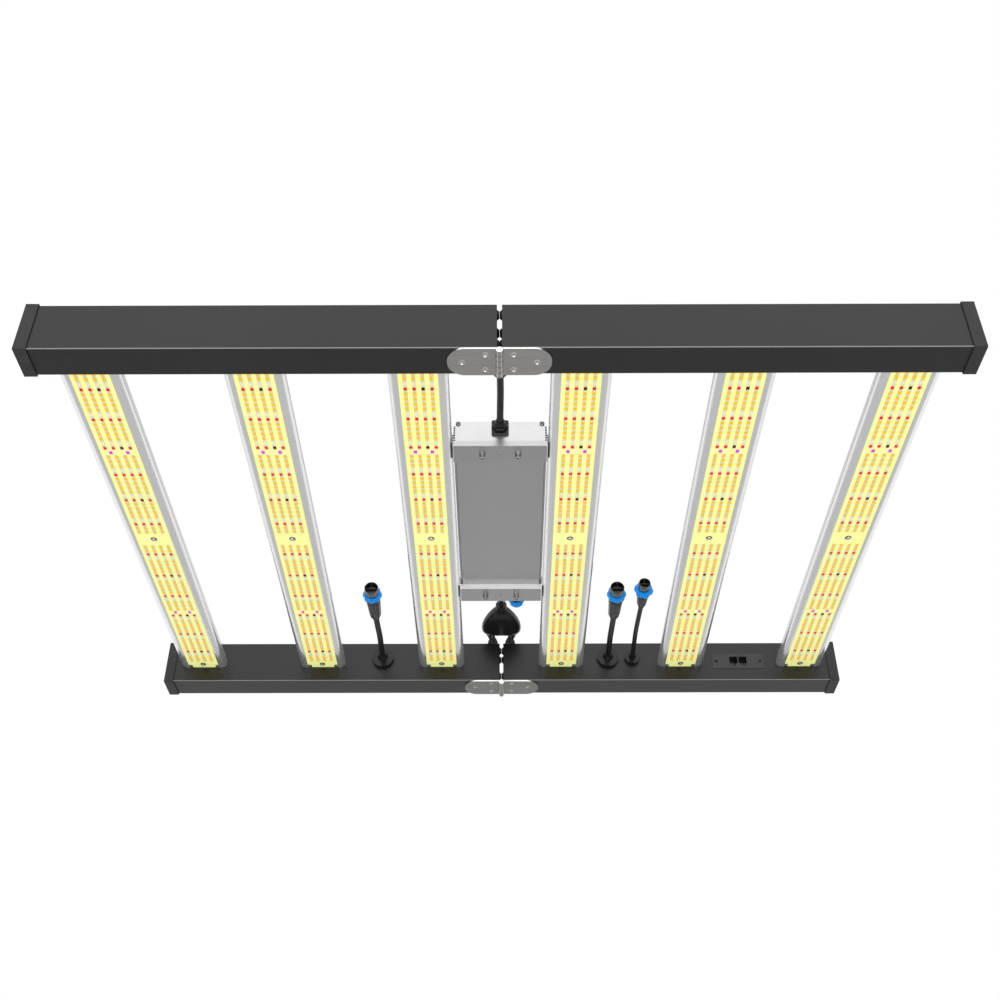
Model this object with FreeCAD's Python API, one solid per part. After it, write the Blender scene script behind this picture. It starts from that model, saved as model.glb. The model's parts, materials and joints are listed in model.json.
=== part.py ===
import FreeCAD, Part
import math
import os

# Folding six-bar LED grow light. Millimetres, +Z up.
# X runs along the two beams, Y along the six light bars, and the LEDs face -Z.
# The origin is under the middle of the light, at the level of the hinge barrels' undersides.

V = FreeCAD.Vector
X_AXIS = V(1, 0, 0)
Y_AXIS = V(0, 1, 0)
Z_AXIS = V(0, 0, 1)

# ---- driving dimensions ----
WIDTH = 1100.0               # over the outer end caps, along X
DEPTH = 825.0                # over the end caps, along Y
CAP_BOTTOM = 5.0             # underside of the end caps
CAP_LENGTH = 15.0
CAP_WALL = 3.0
CAP_PROUD = 1.75             # how far a cap stands out round its tube
BEAM_W = 44.0                # tube section along Y
BEAM_H = 69.0                # tube section along Z
WALL = 2.0                   # tube wall
HALF_GAP = 2.95              # from the fold plane to each inner end plate
PLATE = 3.0                  # inner end plate thickness
PORT_Y = 15.0                # screw ports in the tube, from its centre
PORT_Z = 23.5
PORT_R = 4.0
PORT_HOLE_R = 1.7

BEAM_BOTTOM = CAP_BOTTOM + CAP_PROUD
BEAM_TOP = BEAM_BOTTOM + BEAM_H
BEAM_MID = (BEAM_BOTTOM + BEAM_TOP) / 2
BEAM_Y = DEPTH / 2 - CAP_PROUD - BEAM_W / 2      # centre line of a beam
INNER_Y = BEAM_Y - BEAM_W / 2                    # face that the bars butt against

HINGE_Z = 4.0                # fold axis
BARREL_R = 4.0
PIN_R = 2.0
PIN_CLEARANCE = 0.05
LEAF_T = 2.0
LEAF_LENGTH = 60.0
LEAF_CORNER = 20.5
KNUCKLES = 5
KNUCKLE_GAP = 0.5
KNUCKLE_RELIEF = 0.4
HINGE_SCREWS = ((43.0, 0.0), (16.4, 12.4), (16.4, -12.4))
HINGE_HEAD_R = 4.1
HINGE_SHANK_R = 1.9

BAR_PITCH = 195.0
BAR_HALF = 36.4              # half the bar's width
BOARD_FACE = 31.5            # height of the LED side of the boards
BOARD_T = 1.6
BOARD_HALF = 24.0
BOARD_END = INNER_Y - 0.3                        # ends of the LED boards, just clear of the beams
BOARD_NOTCH = (6.0, 8.0)
WING_Z = BOARD_FACE - 0.2    # lowest line of the bar, beside the board
WING_RISE = 4.6              # how far the wings curve up to the bar's sides
BASE_TOP = BOARD_FACE + 6.0
SIDE_TOP = BOARD_FACE + 11.0
FIN_TOP = 55.0
FIN_T = 1.8
FIN_X = (6.0, 14.0, 22.0, 30.0)
BAR_BOLT_X = 18.0
BAR_BOLT_Z = BOARD_FACE + 10.75
BAR_BOLT_R = 2.2
BOARD_SCREW_Y = (0.0, 356.0, -356.0)

LED_X = (-16.2, -5.4, 5.4, 16.2)
LED_PAIR_X = (-10.8, 10.8)   # the row with two LEDs
LED_PAIR_ROW = 18
LED_ROWS = 36                # rows in each half of a bar
LED_PITCH = 9.24
LED_FIRST = 18.48
LED_W = 4.8
LED_L = 8.4
LED_H = 0.75

DRIVER_HALF = 60.15
DRIVER_CORE = 57.65
DRIVER_NEAR = -207.0
DRIVER_FAR = 162.0
DRIVER_Z0 = 38.5
DRIVER_Z1 = 70.0
DRIVER_WALL = 2.5
DRIVER_PLATE = 3.0
FOOT_Z = 30.0
FOOT_L = 33.5
FOOT_T = 2.0
FOOT_NUT_X = 23.0
PLATE_SCREW_X = 54.0
PLATE_SCREW_Z = 66.4

SUPPLY_Z = 58.6
SUPPLY_PLUG_REAR = -313.0
SUPPLY_PLUG_L = 48.0
PORT_RING_X = 23.6
PORT_RING_Z = 48.0
PORT_REACH = 31.0            # how far the dimmer port stands out of the end plate

LEAD_R = 4.5                 # power leads
DIM_LEAD_R = 3.65            # dimmer lead
LEAD_Z = 46.5
LEAD_X_LEFT = -195.0
LEAD_X_RIGHT = 175.0
LEAD_X_DIM = 215.0
GLAND_FLATS = 34.0           # across the flats of the power leads' glands
DIM_GLAND_FLATS = 24.0
LEAD_DROP = 4.0              # from a gland's axis down to its connector's
PLUG_REAR = 230.0            # back of the two power connectors
PLUG_L = 86.0
DIM_PLUG_REAR = 198.0
DIM_PLUG_L = 66.0
GLAND_REACH = 15.0           # from the beam's face to where a lead leaves its gland

SOCKET_X = 14.5
HANG_X = 400.0
HANG_HOLE_R = 3.0

JACK_X = 389.0
JACK_Z = 40.5
JACK_W = 36.5
JACK_H = 22.0
PORT_W = 12.4
PORT_H = 8.4
PORT_DEPTH = 14.0
PORT_GAP = 16.0              # between the two ports' centres
JACK_SCREW_X = 36.0

CLEAR = 0.3                  # between bodies that move past each other
SIDES = {"left": -1, "right": 1}
BAR_CENTRES = {"left": (-487.5, -292.5, -97.5), "right": (97.5, 292.5, 487.5)}


# ---- small helpers ----
def box(x, y, z):
    """A box from three (low, high) pairs, given in either order."""
    low = V(min(x), min(y), min(z))
    return Part.makeBox(abs(x[1] - x[0]), abs(y[1] - y[0]), abs(z[1] - z[0]), low)


def rod(radius, start, end):
    """A cylinder between two points."""
    run = end - start
    return Part.makeCylinder(radius, run.Length, start, run)


def cone(radius_a, radius_b, start, end):
    run = end - start
    return Part.makeCone(radius_a, radius_b, run.Length, start, run)


def ring(outer, inner, start, end):
    """A tube between two points."""
    run = (end - start).normalize()
    return rod(outer, start, end).cut(rod(inner, start - run, end + run))


def hexagon(flats, start, end):
    """A hexagonal prism between two points."""
    run = end - start
    corner = flats / math.sqrt(3)
    angles = [math.radians(60 * k) for k in range(7)]
    points = [V(corner * math.cos(a), corner * math.sin(a), 0) for a in angles]
    prism = Part.Face(Part.makePolygon(points)).extrude(V(0, 0, run.Length))
    prism.Placement = FreeCAD.Placement(start, FreeCAD.Rotation(Z_AXIS, run))
    return prism


def dome(radius, height, base, direction):
    """A round cap: a slice of a ball that is as wide as radius and as high as height."""
    ball_r = (radius ** 2 + height ** 2) / (2 * height)
    ball = Part.makeSphere(ball_r, base - direction * (ball_r - height))
    return ball.common(rod(radius, base, base + direction * height))


def outline_x(points, arcs, length, y):
    """Extrudes a closed outline of (x, z) points along +Y from y.

    arcs maps the number of a point to the middle (x, z) of a round stretch that starts there.
    """
    corners = [V(px, y, pz) for px, pz in points]
    edges = []
    for k, corner in enumerate(corners):
        after = corners[(k + 1) % len(corners)]
        if k in arcs:
            middle_x, middle_z = arcs[k]
            edges.append(Part.Arc(corner, V(middle_x, y, middle_z), after).toShape())
        else:
            edges.append(Part.LineSegment(corner, after).toShape())
    return Part.Face(Part.Wire(edges)).extrude(V(0, length, 0))


def join(first, others):
    return first.fuse(list(others)).removeSplitter()


def rounded(shape, radius, along):
    """Rounds the outer edges that run along one axis at the corners of the box round the shape."""
    bounds = shape.BoundBox

    def is_corner(edge):
        line = edge.Vertexes[-1].Point - edge.Vertexes[0].Point
        if line.Length < 1 or abs(line.normalize().dot(along)) < 0.999:
            return False
        at = edge.CenterOfMass
        sides = [
            along.x or min(abs(at.x - bounds.XMin), abs(at.x - bounds.XMax)) < 1e-4,
            along.y or min(abs(at.y - bounds.YMin), abs(at.y - bounds.YMax)) < 1e-4,
            along.z or min(abs(at.z - bounds.ZMin), abs(at.z - bounds.ZMax)) < 1e-4,
        ]
        return all(sides)

    return shape.makeFillet(radius, [edge for edge in shape.Edges if is_corner(edge)])


def tube_along(points, radius, name):
    """A round cable on straight runs joined by tangent arcs, each as large as its runs allow."""
    points = [V(*p) for p in points]
    edges = []
    at = points[0]
    length = 0.0
    radii = []
    for before, corner, after in zip(points, points[1:], points[2:]):
        run_in = (corner - before).normalize()
        run_out = (after - corner).normalize()
        half_turn = run_in.getAngle(run_out) / 2
        trim = 0.45 * min((corner - before).Length, (after - corner).Length)
        arc_r = trim / math.tan(half_turn)
        start = corner - run_in * trim
        end = corner + run_out * trim
        inward = (run_out - run_in).normalize()
        middle = corner + inward * (arc_r / math.cos(half_turn) - arc_r)
        edges += [Part.LineSegment(at, start).toShape(), Part.Arc(start, middle, end).toShape()]
        length += (start - at).Length + arc_r * 2 * half_turn
        radii.append(arc_r)
        at = end
    edges.append(Part.LineSegment(at, points[-1]).toShape())
    length += (points[-1] - at).Length
    first_run = points[1] - points[0]
    profile = Part.Wire(Part.makeCircle(radius, points[0], first_run))
    solid = Part.Wire(edges).makePipeShell([profile], True, False)
    ratio = solid.Volume / (math.pi * radius ** 2 * length)
    smallest = min(radii) / (2 * radius)
    print(f"{name}: length {length:.1f}, volume ratio {ratio:.4f}, tightest {smallest:.1f} diameters")
    return solid


def save(node, shapes):
    """Writes one sub-part, as one solid or as a group of separate solids."""
    shapes = shapes if isinstance(shapes, list) else [shapes]
    solids = [solid for shape in shapes for solid in shape.Solids]
    bad = [solid for solid in solids if not solid.isValid() or solid.Volume <= 0]
    print(f"{node}: {len(solids)} solids, {len(bad)} bad")
    result = solids[0] if len(solids) == 1 else Part.makeCompound(solids)
    result.exportStep(f"parts/{node}.step")


# ---- beams and their ends ----
def port_points(beam_y):
    return [(beam_y + dy, BEAM_MID + dz) for dy in (-PORT_Y, PORT_Y) for dz in (-PORT_Z, PORT_Z)]


def beam(side, beam_y, holes):
    """Half of a beam: a rectangular tube with screw ports in its four corners."""
    sign = SIDES[side]
    x = (sign * (HALF_GAP + PLATE), sign * (WIDTH / 2 - CAP_WALL))
    y = (beam_y - BEAM_W / 2, beam_y + BEAM_W / 2)
    tube = rounded(box(x, y, (BEAM_BOTTOM, BEAM_TOP)), 1.2, X_AXIS)
    inside = (BEAM_BOTTOM + WALL, BEAM_TOP - WALL)
    tube = tube.cut(box((x[0] - 5, x[1] + 5) if sign > 0 else (x[0] + 5, x[1] - 5),
                        (y[0] + WALL, y[1] - WALL), inside))
    for port_y, port_z in port_points(beam_y):
        wall_y = y[0] + WALL if port_y < beam_y else y[1] - WALL
        web = box(x, (port_y, wall_y + (0.5 if port_y > beam_y else -0.5)),
                  (port_z - PORT_R + 0.8, port_z + PORT_R - 0.8))
        boss = rod(PORT_R, V(x[0], port_y, port_z), V(x[1], port_y, port_z))
        tube = tube.fuse([web, boss])
        tube = tube.cut(rod(PORT_HOLE_R, V(x[0] - sign, port_y, port_z), V(x[1] + sign, port_y, port_z)))
    return tube.cut(holes).removeSplitter()


def bar_holes(side, beam_y):
    """Bolt and wire holes through a beam's inner wall for its three bars."""
    face = math.copysign(INNER_Y, beam_y)
    out = math.copysign(WALL + 1, beam_y)
    holes = []
    for bar_x in BAR_CENTRES[side]:
        for dx in (-BAR_BOLT_X, BAR_BOLT_X):
            start = V(bar_x + dx, face - math.copysign(1, beam_y), BAR_BOLT_Z)
            holes.append(rod(BAR_BOLT_R + 0.2, start, V(bar_x + dx, face + out, BAR_BOLT_Z)))
        if beam_y > 0:
            holes.append(rod(3.2, V(bar_x, face - 1, BAR_BOLT_Z), V(bar_x, face + out, BAR_BOLT_Z)))
    return holes


def hinge_holes(side, beam_y):
    sign = SIDES[side]
    return [rod(HINGE_SHANK_R + 0.1, V(sign * x, beam_y + y, BEAM_BOTTOM - 1),
                V(sign * x, beam_y + y, BEAM_BOTTOM + WALL + 1)) for x, y in HINGE_SCREWS]


def top_hole(x, beam_y, radius):
    return rod(radius, V(x, beam_y, BEAM_TOP - WALL - 1), V(x, beam_y, BEAM_TOP + 1))


def gland_hole(x, radius):
    return rod(radius, V(x, INNER_Y - 1, LEAD_Z), V(x, INNER_Y + WALL + 1, LEAD_Z))


def end_cap(side, beam_y):
    """A cup that closes the outer end of a beam half, with a spigot inside the tube."""
    sign = SIDES[side]
    end = sign * WIDTH / 2
    lip = end - sign * CAP_LENGTH
    floor = end - sign * CAP_WALL
    reach = BEAM_W / 2 + CAP_PROUD
    cup = box((lip, end), (beam_y - reach, beam_y + reach), (CAP_BOTTOM, BEAM_TOP + CAP_PROUD))
    cup = rounded(cup, 1.6, X_AXIS)
    pocket = box((lip - sign, floor), (beam_y - BEAM_W / 2, beam_y + BEAM_W / 2), (BEAM_BOTTOM, BEAM_TOP))
    inner = WALL + 0.2
    spigot = box((floor - sign * 8, floor), (beam_y - BEAM_W / 2 + inner, beam_y + BEAM_W / 2 - inner),
                 (BEAM_BOTTOM + inner, BEAM_TOP - inner))
    core = box((floor - sign * 9, floor - sign * 0.01), (beam_y - 9.5, beam_y + 9.5),
               (BEAM_BOTTOM + inner + 3, BEAM_TOP - inner - 3))
    ports = [rod(PORT_R + 0.4, V(floor - sign * 9, y, z), V(floor, y, z)) for y, z in port_points(beam_y)]
    webs = [box((floor - sign * 9, floor), (y, beam_y + math.copysign(BEAM_W / 2, y - beam_y)),
                (z - PORT_R, z + PORT_R)) for y, z in port_points(beam_y)]
    return join(cup.cut(pocket), [spigot.cut([core] + ports + webs)])


def end_plate(side, beam_y):
    """The flat plate that closes the inner end of a beam half."""
    sign = SIDES[side]
    x = (sign * HALF_GAP, sign * (HALF_GAP + PLATE))
    plate = box(x, (beam_y - BEAM_W / 2, beam_y + BEAM_W / 2), (BEAM_BOTTOM, BEAM_TOP))
    plate = rounded(plate, 1.2, X_AXIS)
    holes = [rod(1.8, V(x[0] - sign, y, z), V(x[1] + sign, y, z)) for y, z in port_points(beam_y)]
    return plate.cut(holes)


def cross_slot(seat, direction, reach):
    """The two crossed grooves of a screw's drive, from seat outwards."""
    side_a = direction.cross(V(direction.z, direction.x, direction.y)).normalize()
    side_b = direction.cross(side_a)
    slots = []
    for along, across in ((side_a, side_b), (side_b, side_a)):
        start = seat - along * reach / 2 - across * reach * 0.1
        corners = [start, start + along * reach, start + along * reach + across * reach * 0.2,
                   start + across * reach * 0.2, start]
        slots.append(Part.Face(Part.makePolygon(corners)).extrude(direction * 3))
    return slots


def pan_screw(point, direction, head_r, head_h, shank_r, shank_length):
    """A cross-head pan screw. The point is under its head, and direction points out of the surface."""
    rim = head_h * 0.4
    head = join(rod(head_r, point, point + direction * rim),
                [dome(head_r, head_h - rim, point + direction * rim, direction),
                 rod(shank_r, point - direction * shank_length, point + direction * 0.1)])
    return head.cut(cross_slot(point + direction * (head_h - 1.0), direction, head_r))


def plate_screws(side):
    """Bevelled heads that all but meet the other half's heads on the fold plane."""
    sign = SIDES[side]
    out = V(-sign, 0, 0)
    head_h = HALF_GAP - 0.15
    screws = []
    for beam_y in (-BEAM_Y, BEAM_Y):
        for y, z in port_points(beam_y):
            seat = V(sign * HALF_GAP, y, z)
            head = join(cone(6.5, 4.2, seat, seat + out * head_h), [rod(1.6, seat - out * 14, seat + out * 0.1)])
            screws.append(head.cut(cross_slot(seat + out * (head_h - 1.0), out, 4.6)))
    return screws


# ---- hinges ----
def knuckle_spans(beam_y):
    """The (low, high) stretches along Y of a hinge's knuckles."""
    length = (BEAM_W - KNUCKLE_GAP * (KNUCKLES - 1)) / KNUCKLES
    first = beam_y - BEAM_W / 2
    return [(first + k * (length + KNUCKLE_GAP), first + k * (length + KNUCKLE_GAP) + length)
            for k in range(KNUCKLES)]


def hinge_leaf(side, beam_y):
    sign = SIDES[side]
    leaf_z = (BEAM_BOTTOM - LEAF_T, BEAM_BOTTOM)
    leaf = box((0, sign * LEAF_LENGTH), (beam_y - BEAM_W / 2, beam_y + BEAM_W / 2), leaf_z)
    outer = [edge for edge in leaf.Edges
             if abs(edge.CenterOfMass.x - sign * LEAF_LENGTH) < 1e-4 and edge.BoundBox.ZLength > 1]
    leaf = leaf.makeFillet(LEAF_CORNER, outer)
    own = 0 if side == "left" else 1
    spans = knuckle_spans(beam_y)
    relief = []
    knuckles = []
    for k, (low, high) in enumerate(spans):
        if k % 2 == own:
            knuckles.append(rod(BARREL_R, V(0, low, HINGE_Z), V(0, high, HINGE_Z)))
        else:
            start = V(0, low - KNUCKLE_GAP - 0.01, HINGE_Z)
            end = V(0, high + KNUCKLE_GAP + 0.01, HINGE_Z)
            relief.append(rod(BARREL_R + KNUCKLE_RELIEF, start, end))
    past = box((0, -sign * 10), (beam_y - BEAM_W, beam_y + BEAM_W), (0, 10))
    leaf = leaf.cut(relief + [past])
    leaf = join(leaf, knuckles)
    cuts = [rod(PIN_R + PIN_CLEARANCE, V(0, beam_y - BEAM_W, HINGE_Z), V(0, beam_y + BEAM_W, HINGE_Z))]
    for x, y in HINGE_SCREWS:
        mouth = V(sign * x, beam_y + y, leaf_z[0])
        cuts.append(cone(HINGE_HEAD_R, HINGE_SHANK_R, mouth, mouth + V(0, 0, LEAF_T)))
    return leaf.cut(cuts)


def hinge_pin(beam_y):
    ends = (beam_y - BEAM_W / 2, beam_y + BEAM_W / 2)
    return rod(PIN_R, V(0, ends[0], HINGE_Z), V(0, ends[1], HINGE_Z))


def hinge_screws(side):
    """Countersunk cross-head screws, flush with the leaves."""
    sign = SIDES[side]
    screws = []
    for beam_y in (-BEAM_Y, BEAM_Y):
        for x, y in HINGE_SCREWS:
            foot = V(sign * x, beam_y + y, BEAM_BOTTOM - LEAF_T)
            screw = join(cone(HINGE_HEAD_R, HINGE_SHANK_R, foot, foot + V(0, 0, LEAF_T)),
                         [rod(HINGE_SHANK_R, foot + V(0, 0, LEAF_T), foot + V(0, 0, LEAF_T + 3.5))])
            arms = [box((foot.x - a, foot.x + a), (foot.y - b, foot.y + b), (foot.z - 1, foot.z + 0.8))
                    for a, b in ((2.2, 0.5), (0.5, 2.2))]
            screws.append(screw.cut(arms))
    return screws


# ---- light bars ----
def light_bar(bar_x):
    """The finned aluminium extrusion that carries one LED board."""
    length = 2 * INNER_Y
    recess = BOARD_FACE + BOARD_T
    lip = BOARD_HALF + 0.3
    groove = BOARD_FACE + 5.4
    half = [(lip, recess), (lip, WING_Z), (BAR_HALF, WING_Z + WING_RISE), (BAR_HALF, groove),
            (BAR_HALF - 0.9, groove + 0.4), (BAR_HALF - 0.9, groove + 1.4), (BAR_HALF, groove + 1.8),
            (BAR_HALF, SIDE_TOP), (BAR_HALF - 2.4, SIDE_TOP), (BAR_HALF - 2.4, BASE_TOP)]
    slant = math.sqrt(0.5)
    bulge = (lip + (BAR_HALF - lip) * slant, WING_Z + WING_RISE * (1 - slant))
    outline = [(bar_x + x, z) for x, z in half] + [(bar_x - x, z) for x, z in reversed(half)]
    arcs = {1: (bar_x + bulge[0], bulge[1]), len(outline) - 3: (bar_x - bulge[0], bulge[1])}
    bar = outline_x(outline, arcs, length, -INNER_Y)
    y = (-INNER_Y, INNER_Y)
    extras = [box((bar_x - 10.5, bar_x + 10.5), y, (BASE_TOP - 0.5, BASE_TOP + 9.5))]
    for sign in (-1, 1):
        extras += [box((bar_x + sign * x, bar_x + sign * (x + FIN_T)), y, (BASE_TOP - 0.5, FIN_TOP)) for x in FIN_X]
        extras.append(box((bar_x + sign * (FIN_X[1] + 0.5), bar_x + sign * (FIN_X[2] + 0.5)), y,
                          (BASE_TOP - 0.5, BASE_TOP + 8.5)))
    bar = bar.fuse(extras)
    channel = box((bar_x - 8.5, bar_x + 8.5), (-INNER_Y - 1, INNER_Y + 1), (BASE_TOP + 1.5, BASE_TOP + 8.0))
    bolts = [rod(BAR_BOLT_R + 0.05, V(bar_x + dx, -INNER_Y - 1, BAR_BOLT_Z), V(bar_x + dx, INNER_Y + 1, BAR_BOLT_Z))
             for dx in (-BAR_BOLT_X, BAR_BOLT_X)]
    taps = [rod(1.3, V(bar_x, y, recess - 1), V(bar_x, y, recess + 4.5)) for y in BOARD_SCREW_Y]
    return bar.cut([channel] + bolts + taps).removeSplitter()


def led_board(bar_x):
    """The aluminium-backed circuit board in the bar's recess."""
    notch_x, notch_y = BOARD_NOTCH
    wide = BOARD_HALF
    narrow = BOARD_HALF - notch_x
    half = [(wide, -BOARD_END + notch_y), (wide, BOARD_END - notch_y), (narrow, BOARD_END - notch_y),
            (narrow, BOARD_END)]
    points = [(x, y) for x, y in half] + [(-x, y) for x, y in reversed(half)]
    points += [(-narrow, -BOARD_END), (narrow, -BOARD_END), (narrow, -BOARD_END + notch_y)]
    points.insert(len(points) - 3, (-narrow, -BOARD_END + notch_y))
    corners = [V(bar_x + x, y, BOARD_FACE) for x, y in points]
    board = Part.Face(Part.makePolygon(corners + corners[:1])).extrude(V(0, 0, BOARD_T))
    return board.cut([rod(1.7, V(bar_x, y, BOARD_FACE - 1), V(bar_x, y, BOARD_FACE + BOARD_T + 1))
                      for y in BOARD_SCREW_Y])


def leds(bar_x):
    """The LED packages on one board: both halves mirror each other about its centre."""
    packages = []
    for row in range(1, LED_ROWS + 1):
        columns = LED_PAIR_X if row == LED_PAIR_ROW else LED_X
        for sign in (-1, 1):
            y = sign * (LED_FIRST + (row - 1) * LED_PITCH)
            for x in columns:
                packages.append(box((bar_x + x - LED_W / 2, bar_x + x + LED_W / 2),
                                    (y - LED_L / 2, y + LED_L / 2), (BOARD_FACE - LED_H, BOARD_FACE)))
    return packages


def board_screws(side):
    down = V(0, 0, -1)
    return [pan_screw(V(x, y, BOARD_FACE), down, 4.5, 2.2, 1.25, BOARD_T + 4)
            for x in BAR_CENTRES[side] for y in BOARD_SCREW_Y]


def bar_bolts(side):
    """Socket screws inside the beams that hold the bars' ends."""
    bolts = []
    for bar_x in BAR_CENTRES[side]:
        for dx in (-BAR_BOLT_X, BAR_BOLT_X):
            for end in (-1, 1):
                x = bar_x + dx
                seat = V(x, end * (INNER_Y + WALL), BAR_BOLT_Z)
                head = rod(4.2, seat, seat + Y_AXIS * end * 4.0)
                shank = rod(BAR_BOLT_R, seat - Y_AXIS * end * 16, seat + Y_AXIS * end * 0.1)
                socket = hexagon(3.6, seat + Y_AXIS * end * 2.0, seat + Y_AXIS * end * 4.5)
                bolts.append(join(head, [shank]).cut(socket))
    return bolts


# ---- wiring inside the rear beam ----
def wiring(side, lead_xs):
    """The harness in the rear beam: a trunk, a tail into each bar and a tail to each gland and socket."""
    sign = SIDES[side]
    trunk_y = BEAM_Y + 3
    trunk_z = 24.0
    start = V(sign * SOCKET_X, trunk_y, trunk_z)
    harness = rod(3.0, start, V(BAR_CENTRES[side][0 if sign < 0 else 2], trunk_y, trunk_z))
    tails = []
    for bar_x in BAR_CENTRES[side]:
        corner = V(bar_x, trunk_y, BAR_BOLT_Z)
        tails += [rod(1.8, V(bar_x, trunk_y, trunk_z), corner), rod(1.8, corner, V(bar_x, INNER_Y - 14, BAR_BOLT_Z)),
                  Part.makeSphere(1.8, corner)]
    for x in lead_xs:
        corner = V(x, trunk_y, LEAD_Z)
        tails += [rod(2.0, V(x, trunk_y, trunk_z), corner), rod(2.0, corner, V(x, INNER_Y + WALL + 9, LEAD_Z)),
                  Part.makeSphere(2.0, corner)]
    top = V(sign * SOCKET_X, trunk_y, BEAM_TOP - WALL - 11)
    tails += [rod(2.0, start, top), Part.makeSphere(3.0, start)]
    return join(harness, tails)


# ---- glands, leads and couplings ----
def gland(face, direction, flats, cable_r):
    """A cable gland: a hexagon with its corners turned off, and a tapered relief. direction points outwards."""
    nut = flats / 2
    parts = [hexagon(flats, face, face + direction * 7).common(rod(flats * 0.52, face, face + direction * 7)),
             cone(nut * 0.5, cable_r + 0.7, face + direction * 6.9, face + direction * GLAND_REACH)]
    parts.append(rod(nut * 0.6, face - direction * (WALL + 8), face + direction * 0.1))
    return join(parts[0], parts[1:])


def lock_nut(face, direction, flats):
    """The nut behind the panel, clear of the wall's rounded hole."""
    start = face - direction * WALL
    return hexagon(flats * 0.8, start - direction * 5, start).cut(
        rod(flats * 0.3 + 0.02, start - direction * 6, start + direction))


def coupler(x, z, rear_y, radii, barrel_r, length, cable_r):
    """An inline connector on the end of a lead: tapered body, collar, then the barrel under the ring."""
    back = V(x, rear_y, z)
    forward = V(0, -1, 0)
    body_end = length - 30.2
    body = cone(radii[0], radii[1], back + forward * 10, back + forward * body_end)
    shapes = [cone(cable_r + 1.2, radii[0] * 0.9, back, back + forward * 10.1),
              rod(radii[1] * 1.06, back + forward * (body_end - 0.1), back + forward * (body_end + 5)),
              rod(barrel_r - 3.4, back + forward * (body_end + 4.9), back + forward * (length - 14)),
              rod(barrel_r, back + forward * (length - 14.1), back + forward * length)]
    solid = join(body, shapes)
    mouth = back + forward * length
    socket = ring(barrel_r - 2.2, barrel_r - 5.0, mouth + Y_AXIS * 3.5, mouth + forward)
    keys = [rod(1.1, mouth + Y_AXIS * 3.5 + V(dx, 0, dz), mouth + forward + V(dx, 0, dz))
            for dx, dz in ((2.2, 1.3), (-2.2, 1.3), (0, -2.5))]
    return solid.cut([socket] + keys)


def coupling_ring(x, z, front_y, outer, neck_r, wings, wing_r):
    """The blue nut that turns freely on a connector's neck, behind its barrel."""
    length = 10.0
    start = V(x, front_y + 14 + CLEAR, z)
    end = start + Y_AXIS * length
    body = rod(outer - 1.3, start, end)
    grips = []
    for k in range(wings):
        angle = 2 * math.pi * k / wings
        centre = V(math.cos(angle), 0, math.sin(angle)) * (outer - wing_r)
        grips.append(rod(wing_r, start + centre, end + centre))
    return join(body, grips).cut(rod(neck_r, start - Y_AXIS, end + Y_AXIS))


def beam_socket(side):
    """The panel socket in the top of a rear beam half, under the splitter's plug."""
    x = SIDES[side] * SOCKET_X
    top = V(x, BEAM_Y, BEAM_TOP)
    flange = ring(9.0, 3.0, top, top + V(0, 0, 2.5))
    neck = rod(6.0, top - V(0, 0, WALL + 9), top + V(0, 0, 0.1))
    return join(flange, [neck]).cut(rod(3.0, top - V(0, 0, 6), top + V(0, 0, 5)))


def hanging_nuts(side):
    """Rivet nuts for the hanging eyes, one in each beam half."""
    nuts = []
    for beam_y in (-BEAM_Y, BEAM_Y):
        top = V(SIDES[side] * HANG_X, beam_y, BEAM_TOP)
        body = join(rod(6.5, top, top + V(0, 0, 1.2)), [rod(4.6, top - V(0, 0, 12), top + V(0, 0, 0.1))])
        nuts.append(body.cut(rod(HANG_HOLE_R, top - V(0, 0, 13), top + V(0, 0, 2))))
    return nuts


# ---- dimming control jack ----
def control_jack():
    """A dual modular jack block behind the rear beam's inner wall, flush with it."""
    y = (INNER_Y - 0.8, INNER_Y + 17)
    block = box((JACK_X - JACK_W / 2, JACK_X + JACK_W / 2), y, (JACK_Z - JACK_H / 2, JACK_Z + JACK_H / 2))
    bezel = box((JACK_X - JACK_W / 2 - 1, JACK_X + JACK_W / 2 + 1), (y[0], INNER_Y),
                (JACK_Z - JACK_H / 2 - 1, JACK_Z + JACK_H / 2 + 1))
    cuts = []
    for dx in (-PORT_GAP / 2, PORT_GAP / 2):
        x = JACK_X + dx
        depth = (y[0] - 1, y[0] + PORT_DEPTH)
        cuts.append(box((x - PORT_W / 2, x + PORT_W / 2), depth, (JACK_Z - PORT_H / 2 - 1, JACK_Z + PORT_H / 2 - 1)))
        cuts.append(box((x - 3.0, x + 3.0), depth, (JACK_Z, JACK_Z + PORT_H / 2 + 2)))
    board = box((JACK_X - 42, JACK_X + 42), (INNER_Y + 17, INNER_Y + 18.6), (JACK_Z - 13, JACK_Z + 13))
    return [join(block, [bezel]).cut(cuts), board]


def jack_screws():
    out = V(0, -1, 0)
    return [pan_screw(V(JACK_X + dx, INNER_Y, JACK_Z), out, 3.0, 1.8, 1.4, 14) for dx in (-JACK_SCREW_X, JACK_SCREW_X)]


def jack_holes():
    gap = 0.1
    cuts = [box((JACK_X - JACK_W / 2 - gap, JACK_X + JACK_W / 2 + gap), (INNER_Y - 1, INNER_Y + WALL + 1),
                (JACK_Z - JACK_H / 2 - gap, JACK_Z + JACK_H / 2 + gap))]
    for dx in (-JACK_SCREW_X, JACK_SCREW_X):
        cuts.append(rod(1.5, V(JACK_X + dx, INNER_Y - 1, JACK_Z), V(JACK_X + dx, INNER_Y + WALL + 1, JACK_Z)))
    return cuts


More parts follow.
